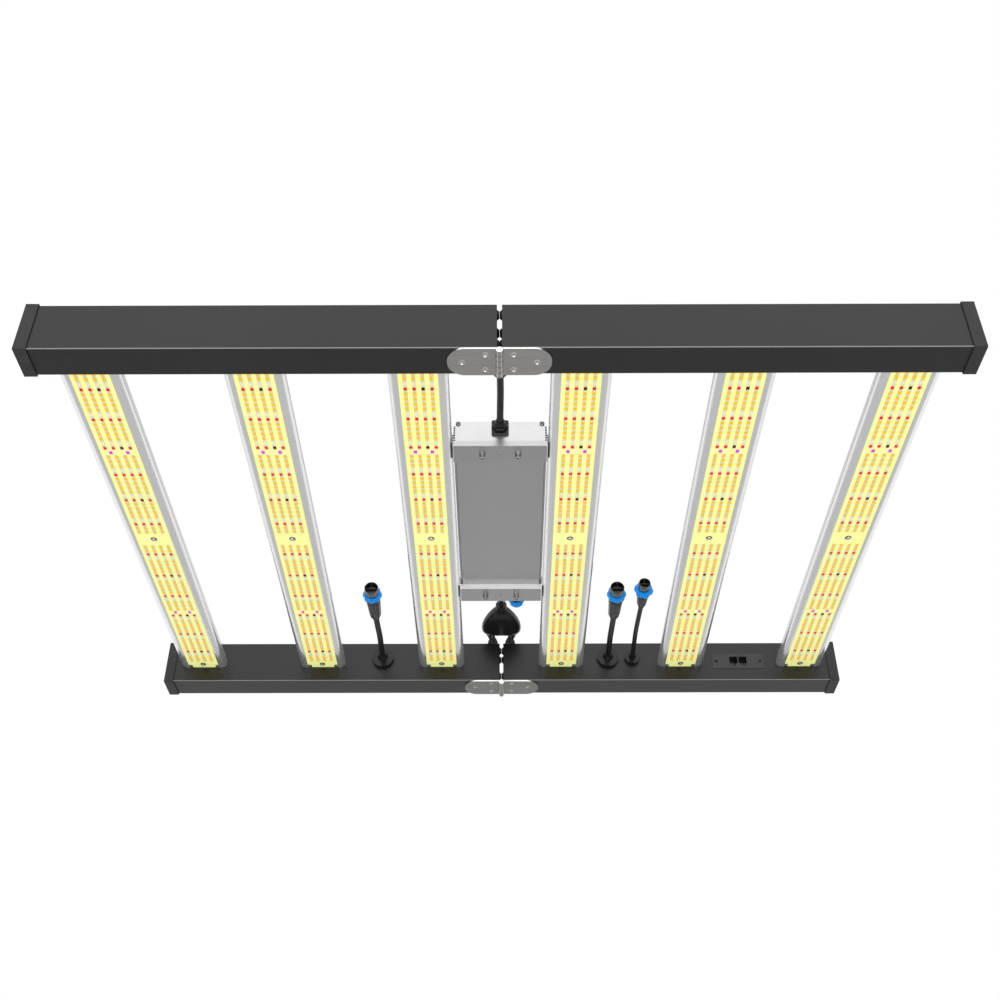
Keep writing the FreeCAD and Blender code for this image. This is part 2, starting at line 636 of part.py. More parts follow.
# ---- driver ----
def driver_housing():
    """The extruded case: a box with shallow fins down both sides."""
    y = (DRIVER_NEAR + DRIVER_PLATE, DRIVER_FAR - DRIVER_PLATE)
    core = rounded(box((-DRIVER_CORE, DRIVER_CORE), y, (DRIVER_Z0, DRIVER_Z1)), 2.0, Y_AXIS)
    fins = [box((-DRIVER_HALF, DRIVER_HALF), y, (z, z + 1.8)) for z in (43.0, 47.0, 51.0, 55.0, 59.0, 63.0)]
    case = core.fuse(fins)
    cavity = box((-DRIVER_CORE + DRIVER_WALL, DRIVER_CORE - DRIVER_WALL), (y[0] - 1, y[1] + 1),
                 (DRIVER_Z0 + DRIVER_WALL, DRIVER_Z1 - DRIVER_WALL))
    return case.cut([cavity] + foot_stud_holes(DRIVER_Z0 - 1, DRIVER_Z0 + DRIVER_WALL + 1)).removeSplitter()


def foot_spans():
    return [(DRIVER_NEAR, DRIVER_NEAR + FOOT_L), (DRIVER_FAR - FOOT_L, DRIVER_FAR)]


def foot_stud_holes(low, high):
    holes = []
    for span in foot_spans():
        middle = (span[0] + span[1]) / 2
        holes += [rod(2.1, V(x, middle, low), V(x, middle, high)) for x in (-FOOT_NUT_X, FOOT_NUT_X)]
    return holes


def driver_end_plates():
    """The end plates, with their cable holes."""
    plates = []
    for y, fittings in ((DRIVER_NEAR, [(0, SUPPLY_Z, 7.1)]),
                        (DRIVER_FAR - DRIVER_PLATE, [(0, SUPPLY_Z, 7.1), (PORT_RING_X, PORT_RING_Z, 8.1)])):
        plate = box((-DRIVER_CORE, DRIVER_CORE), (y, y + DRIVER_PLATE), (DRIVER_Z0, DRIVER_Z1))
        plate = rounded(plate, 1.2, Y_AXIS)
        holes = [rod(r, V(x, y - 1, z), V(x, y + DRIVER_PLATE + 1, z)) for x, z, r in fittings]
        holes += [rod(1.4, V(x, y - 1, PLATE_SCREW_Z), V(x, y + DRIVER_PLATE + 1, PLATE_SCREW_Z))
                  for x in (-PLATE_SCREW_X, PLATE_SCREW_X)]
        plates.append(plate.cut(holes))
    return plates


def driver_feet():
    """The two shallow channels under the driver's ends."""
    feet = []
    for low, high in foot_spans():
        channel = box((-60, 60), (low, high), (FOOT_Z, DRIVER_Z0))
        channel = channel.cut(box((-61, 61), (low + FOOT_T, high - FOOT_T), (FOOT_Z + FOOT_T, DRIVER_Z0 + 1)))
        feet.append(channel.cut(foot_stud_holes(FOOT_Z - 1, FOOT_Z + FOOT_T + 1)))
    return feet


def driver_fasteners():
    """Cap nuts on studs, a rivet in the middle of each foot, and the end plates' screws."""
    pieces = []
    for low, high in foot_spans():
        middle = (low + high) / 2
        for x in (-FOOT_NUT_X, FOOT_NUT_X):
            seat = V(x, middle, FOOT_Z)
            nut = hexagon(7.0, seat - V(0, 0, 3.4), seat)
            crown = [rod(3.1, seat - V(0, 0, 6.2), seat - V(0, 0, 3.3)),
                     dome(3.1, 2.2, seat - V(0, 0, 6.2), V(0, 0, -1)),
                     rod(1.9, seat - V(0, 0, 1), V(x, middle, DRIVER_Z0 + DRIVER_WALL))]
            pieces.append(join(nut, crown))
        pieces.append(dome(1.6, 0.9, V(0, middle, FOOT_Z), V(0, 0, -1)))
    for y, out in ((DRIVER_NEAR, -1), (DRIVER_FAR, 1)):
        for x in (-PLATE_SCREW_X, PLATE_SCREW_X):
            pieces.append(pan_screw(V(x, y, PLATE_SCREW_Z), Y_AXIS * out, 3.2, 3.0, 1.3, 2.8))
    return pieces


def driver_brackets():
    """Hat-shaped straps on the driver's top that rest on the bars each side of it."""
    straps = []
    for low in (DRIVER_NEAR + 8, DRIVER_FAR - 28):
        y = (low, low + 20)
        strap = box((-62.3, 62.3), y, (DRIVER_Z1, DRIVER_Z1 + 2))
        legs = []
        for sign in (-1, 1):
            legs.append(box((sign * 60.5, sign * 62.3), y, (FIN_TOP + CLEAR, DRIVER_Z1 + 1)))
            legs.append(box((sign * 60.5, sign * 92), y, (FIN_TOP + CLEAR, FIN_TOP + CLEAR + 2)))
        straps.append(join(strap, legs))
    return straps


def driver_board():
    """The power supply's circuit board with its larger components, sealed in the case."""
    z = DRIVER_Z0 + DRIVER_WALL
    board = box((-50, 50), (-190, 145), (z + 3, z + 4.6))
    stands = [rod(3, V(x, y, z), V(x, y, z + 3.1)) for x in (-44, 44) for y in (-180, -20, 135)]
    top = z + 4.5
    chokes = [box((-40, -12), (-150, -120), (top, top + 18)), box((8, 42), (-60, -18), (top, top + 20)),
              box((-38, -4), (10, 50), (top, top + 20))]
    cans = [rod(9, V(x, y, top), V(x, y, top + 19)) for x, y in ((24, -130), (24, -105), (-25, -60), (24, 60), (24, 85))]
    return join(board, stands + chokes + cans)


def box_gland(y, out, cable_r):
    """The driver's square-flanged gland, direction along Y."""
    face = V(0, y, SUPPLY_Z)
    step = Y_AXIS * out
    flange = box((-11, 11), (y, y + out * 4), (SUPPLY_Z - 11, SUPPLY_Z + 11))
    flange = rounded(flange, 3.0, Y_AXIS)
    return join(flange, [rod(7.0, face - step * DRIVER_PLATE, face + step * 0.1),
                         hexagon(17, face + step * 3.9, face + step * 9),
                         cone(7.4, cable_r + 0.8, face + step * 8.9, face + step * 17)])


def panel_port():
    """The driver's round dimmer port, which the blue ring turns on."""
    face = V(PORT_RING_X, DRIVER_FAR, PORT_RING_Z)
    flange = rod(10.0, face, face + Y_AXIS * 1.5)
    neck = rod(8.0, face - Y_AXIS * DRIVER_PLATE, face + Y_AXIS * PORT_REACH)
    lip = rod(9.3, face + Y_AXIS * (PORT_REACH - 0.1), face + Y_AXIS * (PORT_REACH + 2))
    mouth = [ring(6.6, 4.0, face + Y_AXIS * (PORT_REACH - 1.5), face + Y_AXIS * (PORT_REACH + 3))]
    return join(flange, [neck, lip]).cut(mouth)


def port_ring():
    face = V(PORT_RING_X, DRIVER_FAR, PORT_RING_Z)
    start = face + Y_AXIS * (PORT_REACH - 11)
    end = face + Y_AXIS * (PORT_REACH - 0.1 - CLEAR)
    grips = []
    for k in range(8):
        angle = 2 * math.pi * k / 8
        centre = V(math.cos(angle), 0, math.sin(angle)) * 9.6
        grips.append(rod(2.2, start + centre, end + centre))
    return join(rod(10.6, start, end), grips).cut(rod(8.0 + CLEAR, start - Y_AXIS, end + Y_AXIS))


# ---- splitter over the rear beam ----
SPLIT_BACK = 262.0           # where the output cable enters the splitter
SPLIT_FRONT = 357.0          # where its two leads leave
SPLIT_Z = 86.0
SPLIT_HALF = 32.0
SPLIT_T = 21.0
BRANCH_X = 19.0
PLUG_TOP = 26.0              # height of the plugs above the beam
ARCH_TOP = 114.565           # centre line of the two leads at their highest


def splitter():
    """The moulded Y: a wedge with rounded edges, an entry collar and two exit collars."""
    z = (SPLIT_Z - SPLIT_T / 2, SPLIT_Z + SPLIT_T / 2)
    narrow = 11.0
    corners = [V(-narrow, SPLIT_BACK + 14, z[0]), V(narrow, SPLIT_BACK + 14, z[0]),
               V(SPLIT_HALF, SPLIT_FRONT - 26, z[0]), V(SPLIT_HALF, SPLIT_FRONT - 8, z[0]),
               V(-SPLIT_HALF, SPLIT_FRONT - 8, z[0]), V(-SPLIT_HALF, SPLIT_FRONT - 26, z[0])]
    body = Part.Face(Part.makePolygon(corners + corners[:1])).extrude(V(0, 0, SPLIT_T))
    body = body.makeFillet(4.5, body.Edges)
    collars = [rod(9.0, V(0, SPLIT_BACK, SPLIT_Z), V(0, SPLIT_BACK + 17, SPLIT_Z))]
    for sign in (-1, 1):
        start = V(sign * BRANCH_X, SPLIT_FRONT - 12, SPLIT_Z)
        collars.append(cone(7.5, 5.0, start, V(sign * BRANCH_X, SPLIT_FRONT, SPLIT_Z)))
    return join(body, collars)


def splitter_cables():
    """The driver's output cable, and the two short leads that arch over to the beam."""
    r_main = 4.35
    r_branch = 3.4
    start_y = DRIVER_FAR + 17
    main = tube_along([(0, start_y, SUPPLY_Z), (0, start_y + 17, SUPPLY_Z), (0, start_y + 41, SUPPLY_Z + 13.5),
                       (0, start_y + 65, SPLIT_Z), (0, SPLIT_BACK, SPLIT_Z)], r_main, "output cable")
    cables = [main]
    plug_z = BEAM_TOP + PLUG_TOP
    for sign in (-1, 1):
        x = sign * BRANCH_X
        plug_x = sign * SOCKET_X
        route = [(x, SPLIT_FRONT, SPLIT_Z), (x, SPLIT_FRONT + 7.7, SPLIT_Z),
                 (x - sign * 0.6, SPLIT_FRONT + 13.2, SPLIT_Z + 5.5), (x - sign * 3.0, SPLIT_FRONT + 13.4, ARCH_TOP - 5.4),
                 (x - sign * 3.8, SPLIT_FRONT + 18.8, ARCH_TOP), (x - sign * 4.3, SPLIT_FRONT + 26.4, ARCH_TOP),
                 (plug_x, BEAM_Y, ARCH_TOP - 5.4), (plug_x, BEAM_Y, plug_z)]
        cables.append(tube_along(route, r_branch, "splitter lead"))
    return cables


def splitter_plugs():
    """The domed plugs on the two sockets."""
    plugs = []
    for sign in (-1, 1):
        foot = V(sign * SOCKET_X, BEAM_Y, BEAM_TOP + 2.5 + CLEAR)
        body = rod(8.75, foot, foot + V(0, 0, 14))
        dome_z = PLUG_TOP - 2.5 - CLEAR
        plugs.append(join(body, [cone(8.75, 4.6, foot + V(0, 0, 13.9), foot + V(0, 0, dome_z))]))
    return plugs


# ---- the whole light ----
def build_half(side, glands):
    for name, beam_y in (("front", -BEAM_Y), ("rear", BEAM_Y)):
        holes = bar_holes(side, beam_y) + hinge_holes(side, beam_y)
        holes.append(top_hole(SIDES[side] * HANG_X, beam_y, 4.7))
        if name == "rear":
            holes.append(top_hole(SIDES[side] * SOCKET_X, beam_y, 6.1))
            holes += [gland_hole(x, flats * 0.3 + 0.1) for x, flats in glands]
            holes += jack_holes() if side == "right" else []
        save(f"{name}_beam_{side}", beam(side, beam_y, holes))
    save(f"end_caps_{side}", [end_cap(side, y) for y in (-BEAM_Y, BEAM_Y)])
    save(f"end_plates_{side}", [end_plate(side, y) for y in (-BEAM_Y, BEAM_Y)])
    save(f"plate_screws_{side}", plate_screws(side) + (jack_screws() if side == "right" else []))
    save(f"hinge_leaves_{side}", [hinge_leaf(side, y) for y in (-BEAM_Y, BEAM_Y)])
    save(f"hinge_screws_{side}", hinge_screws(side))
    first = 1 if side == "left" else 4
    for k, bar_x in enumerate(BAR_CENTRES[side]):
        save(f"light_bar_{first + k}", light_bar(bar_x))
    save(f"led_boards_{side}", [led_board(x) for x in BAR_CENTRES[side]])
    save(f"leds_{side}", [led for x in BAR_CENTRES[side] for led in leds(x)])
    save(f"board_screws_{side}", board_screws(side))
    save(f"bar_bolts_{side}", bar_bolts(side))
    save(f"wiring_{side}", wiring(side, [x for x, _ in glands]))
    save(f"beam_socket_{side}", beam_socket(side))
    save(f"hanging_nuts_{side}", hanging_nuts(side))


def gland_set(x, flats, cable_r):
    face = V(x, INNER_Y, LEAD_Z)
    out = V(0, -1, 0)
    return [gland(face, out, flats, cable_r), lock_nut(face, out, flats)]


def build_leads():
    """The three pigtails on the rear beam's inner face, drooping a little towards the front."""
    exit_y = INNER_Y - GLAND_REACH
    low = LEAD_Z - LEAD_DROP
    save("lead_gland_left", gland_set(LEAD_X_LEFT, GLAND_FLATS, LEAD_R))
    save("lead_glands_right", gland_set(LEAD_X_RIGHT, GLAND_FLATS, LEAD_R)
         + gland_set(LEAD_X_DIM, DIM_GLAND_FLATS, DIM_LEAD_R))
    rear = PLUG_REAR
    for name, x, bow in (("left", LEAD_X_LEFT, 1.5), ("right", LEAD_X_RIGHT, -1.2)):
        route = [(x, exit_y, LEAD_Z), (x + bow * 0.3, 322.0, LEAD_Z - 1.0), (x + bow, 290.0, LEAD_Z - 3.4),
                 (x + bow * 0.5, 259.0, low - 0.3), (x, rear, low)]
        save(f"lead_{name}", tube_along(route, LEAD_R, f"lead {name}"))
        save(f"lead_plug_{name}", coupler(x, low, rear, (8.9, 11.2), 10.5, PLUG_L, LEAD_R))
        save(f"lead_ring_{name}", coupling_ring(x, low, rear - PLUG_L, 14.5, 7.1 + CLEAR, 8, 4.5))
    rear = DIM_PLUG_REAR
    x = LEAD_X_DIM
    route = [(x, exit_y, LEAD_Z), (x - 0.8, 312.0, LEAD_Z - 1.1), (x - 2.0, 273.0, LEAD_Z - 3.8),
             (x - 1.2, 234.0, low - 0.4), (x, rear, low)]
    save("dimmer_lead", tube_along(route, DIM_LEAD_R, "dimmer lead"))
    save("dimmer_plug", coupler(x, low, rear, (7.4, 9.0), 8.7, DIM_PLUG_L, DIM_LEAD_R))
    save("dimmer_ring", coupling_ring(x, low, rear - DIM_PLUG_L, 14.3, 5.3 + CLEAR, 6, 3.2))


def build_driver():
    save("driver_housing", driver_housing())
    save("driver_end_plates", driver_end_plates())
    save("driver_fasteners", driver_fasteners())
    save("driver_feet", driver_feet())
    save("driver_brackets", driver_brackets())
    save("driver_board", driver_board())
    save("driver_glands", [box_gland(DRIVER_NEAR, -1, LEAD_R), box_gland(DRIVER_FAR, 1, LEAD_R), panel_port()])
    save("port_ring", port_ring())
    start = DRIVER_NEAR - 17
    back = V(0.4, SUPPLY_PLUG_REAR, SUPPLY_Z - 3.0)
    route = [(0, start, SUPPLY_Z), (0.3, start - 28, SUPPLY_Z - 0.8), (0.9, start - 59, SUPPLY_Z - 2.6),
             (back.x, back.y, back.z)]
    save("supply_lead", tube_along(route, 4.35, "supply lead"))
    forward = V(0, -1, 0)
    plug = join(cone(7.2, 9.0, back, back + forward * 3),
                [rod(9.0, back + forward * 2.9, back + forward * 28), rod(7.6, back + forward * 27.9, back + forward * 41),
                 rod(9.0, back + forward * 40.9, back + forward * SUPPLY_PLUG_L)])
    mouth = back + forward * SUPPLY_PLUG_L
    pins = [ring(6.4, 4.2, mouth + Y_AXIS * 3.5, mouth + forward)]
    save("supply_plug", plug.cut(pins))
    save("splitter", splitter())
    save("splitter_cables", splitter_cables())
    save("splitter_plugs", splitter_plugs())


os.makedirs("parts", exist_ok=True)
GLANDS = {"left": ((LEAD_X_LEFT, GLAND_FLATS),), "right": ((LEAD_X_RIGHT, GLAND_FLATS), (LEAD_X_DIM, DIM_GLAND_FLATS))}
for half in SIDES:
    build_half(half, GLANDS[half])
save("hinge_pins", [hinge_pin(y) for y in (-BEAM_Y, BEAM_Y)])
save("control_jack", control_jack())
build_leads()
build_driver()
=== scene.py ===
import json
import math

import bmesh
import bpy
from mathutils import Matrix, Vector


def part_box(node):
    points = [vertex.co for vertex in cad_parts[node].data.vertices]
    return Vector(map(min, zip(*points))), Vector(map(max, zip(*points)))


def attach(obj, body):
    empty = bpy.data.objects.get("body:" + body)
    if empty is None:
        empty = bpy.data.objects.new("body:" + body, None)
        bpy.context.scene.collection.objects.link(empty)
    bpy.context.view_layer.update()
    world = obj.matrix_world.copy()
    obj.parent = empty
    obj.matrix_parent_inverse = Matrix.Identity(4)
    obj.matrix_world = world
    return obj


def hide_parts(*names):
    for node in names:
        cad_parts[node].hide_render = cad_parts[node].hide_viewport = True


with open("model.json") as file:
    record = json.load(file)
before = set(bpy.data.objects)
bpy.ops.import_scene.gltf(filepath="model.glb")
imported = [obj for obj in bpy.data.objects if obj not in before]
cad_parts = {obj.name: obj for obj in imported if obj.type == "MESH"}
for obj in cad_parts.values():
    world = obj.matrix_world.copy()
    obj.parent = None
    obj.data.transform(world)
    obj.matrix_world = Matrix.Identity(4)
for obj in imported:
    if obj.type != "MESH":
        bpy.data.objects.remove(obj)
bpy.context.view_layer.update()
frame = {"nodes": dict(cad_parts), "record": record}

MM = 0.001
FLOOR_LEVEL = -1.35
FLOOR_RADIUS = 3.6
FRONTWARDS = (0.0, -1.0, 0.0)
DOWNWARDS = (0.0, 0.0, -1.0)


# ---- places read from the frame ----
def centre(node):
    low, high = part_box(node)
    return [(a + b) / 2 for a, b in zip(low, high)]


BARS = {"left": ["light_bar_1", "light_bar_2", "light_bar_3"],
        "right": ["light_bar_4", "light_bar_5", "light_bar_6"]}
HALF_BODY = {"left": "left_half", "right": "right_half"}
BOARD_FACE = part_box("led_boards_left")[0][2]
LED_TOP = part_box("leds_left")[0][2]

# LED array, in metres
BEAM_LINES = [centre(f"{end}_beam_left")[1] for end in ("front", "rear")]
# where the hinges' screws are, from the fold line and the beam's middle
HINGE_SCREWS = ((0.0430, 0.0), (0.0164, 0.0124), (0.0164, -0.0124))
BOARD_HEAD = 4.5        # radius of the boards' screw heads, in mm
COLUMNS = (-0.0162, -0.0054, 0.0054, 0.0162)
PAIR = (-0.0108, 0.0108)
ROW_PITCH = 0.00924
FIRST_ROW = 0.01848
ROW_KINDS = "OORWOOOODWOOOORWOOOMDWOOOORWOOOODWOO"
LED_W = 0.0048
LED_L = 0.0084
WINDOW = {"O": (0.00235, 0.0026), "W": (0.0022, 0.0035), "R": (0.0021, 0.0027), "D": (0.0021, 0.0027),
          "M": (0.0022, 0.0025)}   # half width and half length of each kind's window


# ---- node helpers ----
def new_tree(name):
    material = bpy.data.materials.new(name)
    material.use_nodes = True
    tree = material.node_tree
    shader = tree.nodes["Principled BSDF"]
    return material, tree, shader


def coords(tree, scale=(1, 1, 1)):
    source = tree.nodes.new("ShaderNodeTexCoord")
    mapping = tree.nodes.new("ShaderNodeMapping")
    mapping.inputs["Scale"].default_value = scale
    tree.links.new(source.outputs["Object"], mapping.inputs["Vector"])
    return mapping.outputs["Vector"]


def noise(tree, vector, scale, detail=4.0, roughness=0.55):
    made = tree.nodes.new("ShaderNodeTexNoise")
    made.inputs["Scale"].default_value = scale
    made.inputs["Detail"].default_value = detail
    made.inputs["Roughness"].default_value = roughness
    tree.links.new(vector, made.inputs["Vector"])
    return made.outputs["Fac"]


def remap(tree, value, low, high, from_low=0.3, from_high=0.7):
    made = tree.nodes.new("ShaderNodeMapRange")
    made.inputs["From Min"].default_value = from_low
    made.inputs["From Max"].default_value = from_high
    made.inputs["To Min"].default_value = low
    made.inputs["To Max"].default_value = high
    tree.links.new(value, made.inputs["Value"])
    return made.outputs["Result"]


def mix_colour(tree, factor, colour_a, colour_b):
    """Mixes two colours; each is a tuple or the output of another node."""
    made = tree.nodes.new("ShaderNodeMix")
    made.data_type = "RGBA"
    tree.links.new(factor, made.inputs["Factor"])
    for socket, colour in ((made.inputs[6], colour_a), (made.inputs[7], colour_b)):
        if isinstance(colour, tuple):
            socket.default_value = (*colour, 1)
        else:
            tree.links.new(colour, socket)
    return made.outputs[2]


def bump(tree, shader, height, strength, distance):
    made = tree.nodes.new("ShaderNodeBump")
    made.inputs["Strength"].default_value = strength
    made.inputs["Distance"].default_value = distance
    tree.links.new(height, made.inputs["Height"])
    tree.links.new(made.outputs["Normal"], shader.inputs["Normal"])


def facing(tree, direction, low, high):
    """0 to 1 as the surface turns towards a direction, between two cosines."""
    source = tree.nodes.new("ShaderNodeTexCoord")
    towards = tree.nodes.new("ShaderNodeVectorMath")
    towards.operation = "DOT_PRODUCT"
    towards.inputs[1].default_value = direction
    tree.links.new(source.outputs["Normal"], towards.inputs[0])
    return remap(tree, towards.outputs["Value"], 0.0, 1.0, low, high)


def along_y(tree, low, high):
    """0 to 1 between two places along the object's Y axis."""
    source = tree.nodes.new("ShaderNodeTexCoord")
    place = tree.nodes.new("ShaderNodeSeparateXYZ")
    tree.links.new(source.outputs["Object"], place.inputs["Vector"])
    return remap(tree, place.outputs["Y"], 0.0, 1.0, low, high)


def surface(name, dark, light, rough, metallic=0.0, scale=60.0, stretch=(1, 1, 1), grain=400.0,
            grain_strength=0.15, grain_depth=0.0001, coat=0.0, specular=0.5):
    """A material whose colour, roughness and relief all vary with noise."""
    material, tree, shader = new_tree(name)
    shader.inputs["Metallic"].default_value = metallic
    shader.inputs["Coat Weight"].default_value = coat
    shader.inputs["Coat Roughness"].default_value = 0.15
    shader.inputs["Specular IOR Level"].default_value = specular
    vector = coords(tree, stretch)
    cloud = noise(tree, vector, scale)
    fine = noise(tree, vector, grain, 2.0)
    tree.links.new(mix_colour(tree, remap(tree, cloud, 0, 1), dark, light), shader.inputs["Base Color"])
    tree.links.new(remap(tree, fine, rough[0], rough[1]), shader.inputs["Roughness"])
    bump(tree, shader, fine, grain_strength, grain_depth)
    return material


# ---- materials ----
def powder_coat():
    """Fine satin powder coat, with a painted highlight: lighter grey on faces turned down and to the front,
    along the beams' lower front edges.
    """
    material, tree, shader = new_tree("powder_coat")
    shader.inputs["Specular IOR Level"].default_value = 0.5
    vector = coords(tree)
    fine = noise(tree, vector, 2200.0, 2.0)
    cloud = remap(tree, noise(tree, vector, 8.0), 0, 1)
    paint = mix_colour(tree, cloud, (0.007, 0.007, 0.0073), (0.010, 0.010, 0.0104))
    # painted highlight: faces turned down and to the front get a lighter grey, standing in for light caught on
    # the lower front edges
    edge = facing(tree, (0.0, -0.7071, -0.7071), 0.80, 0.92)
    tree.links.new(mix_colour(tree, edge, paint, (0.30, 0.30, 0.30)), shader.inputs["Base Color"])
    tree.links.new(remap(tree, fine, 0.30, 0.40), shader.inputs["Roughness"])
    bump(tree, shader, fine, 0.10, 0.00003)
    return material


def cap_plastic():
    return surface("cap_plastic", (0.016, 0.016, 0.017), (0.026, 0.026, 0.027), (0.42, 0.62), scale=40.0,
                   grain=1500.0, grain_strength=0.25, grain_depth=0.00008)


def anodised():
    """Extruded aluminium: fine die lines run along the bar."""
    return surface("anodised_aluminium", (0.90, 0.90, 0.91), (0.94, 0.94, 0.95), (0.18, 0.21), metallic=0.8,
                   scale=30.0, stretch=(1, 0.02, 1), grain=1400.0, grain_strength=0.015, grain_depth=0.00001)


def brushed_steel():
    """Satin steel, with a painted highlight on its front-facing faces and painted shade making the rear hinge
    darker.
    """
    material, tree, shader = new_tree("brushed_steel")
    shader.inputs["Metallic"].default_value = 1.0
    vector = coords(tree, (0.06, 1, 1))
    cloud = remap(tree, noise(tree, vector, 220.0), 0, 1)
    fine = noise(tree, vector, 900.0, 2.0)
    near = mix_colour(tree, cloud, (0.43, 0.42, 0.41), (0.48, 0.47, 0.46))
    # painted shade: the rear hinge gets a darker copy of the same steel, mixed in by its place along Y
    rear_painted_shade = mix_colour(tree, cloud, (0.25, 0.245, 0.24), (0.29, 0.285, 0.28))
    steel_with_painted_shade = mix_colour(tree, along_y(tree, -0.05, 0.05), near, rear_painted_shade)
    # painted highlight: faces turned to the front are lightened to near white
    edge = facing(tree, FRONTWARDS, 0.55, 0.90)
    tree.links.new(mix_colour(tree, edge, steel_with_painted_shade, (0.95, 0.95, 0.94)), shader.inputs["Base Color"])
    tree.links.new(remap(tree, fine, 0.25, 0.31), shader.inputs["Roughness"])
    bump(tree, shader, fine, 0.05, 0.00002)
    return material


def zinc():
    return surface("zinc_plate", (0.62, 0.62, 0.63), (0.82, 0.82, 0.84), (0.16, 0.32), metallic=1.0,
                   scale=500.0, grain=3000.0, grain_strength=0.1, grain_depth=0.00002)


def dark_screw():
    return surface("black_oxide", (0.020, 0.020, 0.022), (0.045, 0.045, 0.048), (0.28, 0.45), metallic=0.6,
                   scale=400.0, grain=2500.0)


def driver_metal():
    return surface("driver_aluminium", (0.49, 0.49, 0.495), (0.53, 0.53, 0.535), (0.33, 0.36), metallic=1.0,
                   scale=12.0, stretch=(1, 0.02, 1), grain=1600.0, grain_strength=0.01, grain_depth=0.00001)


def barrel_metal():
    """The connectors' mating ends."""
    return surface("barrel_metal", (0.16, 0.16, 0.165), (0.24, 0.24, 0.245), (0.22, 0.32), metallic=1.0,
                   scale=200.0, grain=2500.0, grain_strength=0.05, grain_depth=0.00002)


def contact_gold():
    """The jack's contacts, dulled because they sit in shadow deep in the openings."""
    return surface("contact_gold", (0.10, 0.07, 0.03), (0.16, 0.11, 0.05), (0.24, 0.34), metallic=1.0,
                   scale=400.0, grain=2500.0, grain_strength=0.05, grain_depth=0.00001)


def driver_foot():
    """The case's finish, with a painted highlight: the rear foot's front-facing inner wall is painted near
    white and made less metallic.
    """
    material, tree, shader = new_tree("driver_foot")
    vector = coords(tree, (1, 0.02, 1))
    # painted highlight: a mask of the rear foot's front-facing inner wall, which is painted bright white
    both = tree.nodes.new("ShaderNodeMath")
    both.operation = "MULTIPLY"
    tree.links.new(facing(tree, FRONTWARDS, 0.4, 0.9), both.inputs[0])
    tree.links.new(along_y(tree, 0.0, 0.01), both.inputs[1])
    painted_light_wall = both.outputs["Value"]
    cloud = remap(tree, noise(tree, vector, 12.0), 0, 1)
    satin = mix_colour(tree, cloud, (0.49, 0.49, 0.495), (0.53, 0.53, 0.535))
    tree.links.new(mix_colour(tree, painted_light_wall, satin, (0.97, 0.97, 0.97)), shader.inputs["Base Color"])
    tree.links.new(remap(tree, painted_light_wall, 1.0, 0.1, 0.0, 1.0), shader.inputs["Metallic"])
    fine = noise(tree, vector, 1600.0, 2.0)
    tree.links.new(remap(tree, fine, 0.27, 0.31), shader.inputs["Roughness"])
    bump(tree, shader, fine, 0.03, 0.00001)
    return material


def dark_steel():
    return surface("dark_steel", (0.22, 0.22, 0.225), (0.34, 0.34, 0.345), (0.12, 0.20), metallic=1.0,
                   scale=300.0, grain=2500.0, grain_strength=0.05, grain_depth=0.00002)


def driver_plate():
    return surface("driver_plate", (0.58, 0.58, 0.58), (0.62, 0.62, 0.62), (0.26, 0.32), metallic=1.0,
                   scale=30.0, grain=1500.0, grain_strength=0.06, grain_depth=0.00002)


def cable_rubber():
    return surface("cable_jacket", (0.007, 0.007, 0.0075), (0.012, 0.012, 0.0125), (0.28, 0.40), scale=120.0,
                   grain=1200.0, grain_strength=0.25, grain_depth=0.0001, specular=0.38)


def nylon():
    return surface("black_nylon", (0.006, 0.006, 0.0065), (0.012, 0.012, 0.0125), (0.20, 0.30), scale=150.0,
                   grain=1600.0, grain_strength=0.12, grain_depth=0.00005, specular=0.36)


def blue_plastic():
    return surface("blue_plastic", (0.001, 0.30, 0.94), (0.003, 0.36, 0.99), (0.24, 0.36), scale=90.0,
                   grain=1500.0, grain_strength=0.12, grain_depth=0.00005, specular=0.3)


def jack_plastic():
    return surface("jack_plastic", (0.010, 0.010, 0.011), (0.020, 0.020, 0.021), (0.18, 0.30), scale=200.0,
                   grain=1500.0, grain_strength=0.1)


def green_board():
    return surface("green_board", (0.012, 0.10, 0.03), (0.02, 0.16, 0.05), (0.25, 0.4), scale=300.0, coat=0.3)


def solder_mask():
    """Pale yellow mask over copper: faint lighter tracks run along the board between the LEDs, and a painted
    glow brightens the board.
    """
    material, tree, shader = new_tree("solder_mask")
    vector = coords(tree)
    wave = tree.nodes.new("ShaderNodeTexWave")
    wave.bands_direction = "X"
    wave.inputs["Scale"].default_value = 2 * math.pi / (0.0108 * 20)
    wave.inputs["Distortion"].default_value = 0.0
    tree.links.new(vector, wave.inputs["Vector"])
    tracks = remap(tree, wave.outputs["Fac"], 0.0, 0.35, 0.80, 0.95)
    cloud = remap(tree, noise(tree, vector, 25.0), 0.0, 1.0)
    base = mix_colour(tree, cloud, (0.80, 0.82, 0.25), (0.84, 0.86, 0.28))
    tree.links.new(mix_colour(tree, tracks, base, (0.88, 0.90, 0.33)), shader.inputs["Base Color"])
    shader.inputs["Specular IOR Level"].default_value = 0.3
    # painted glow: the unlit board emits a little of its own colour to look brighter
    shader.inputs["Emission Color"].default_value = (0.92, 0.95, 0.40, 1)
    shader.inputs["Emission Strength"].default_value = 0.42
    fine = noise(tree, vector, 1500.0, 2.0)
    tree.links.new(remap(tree, fine, 0.30, 0.42), shader.inputs["Roughness"])
    bump(tree, shader, fine, 0.08, 0.00003)
    return material


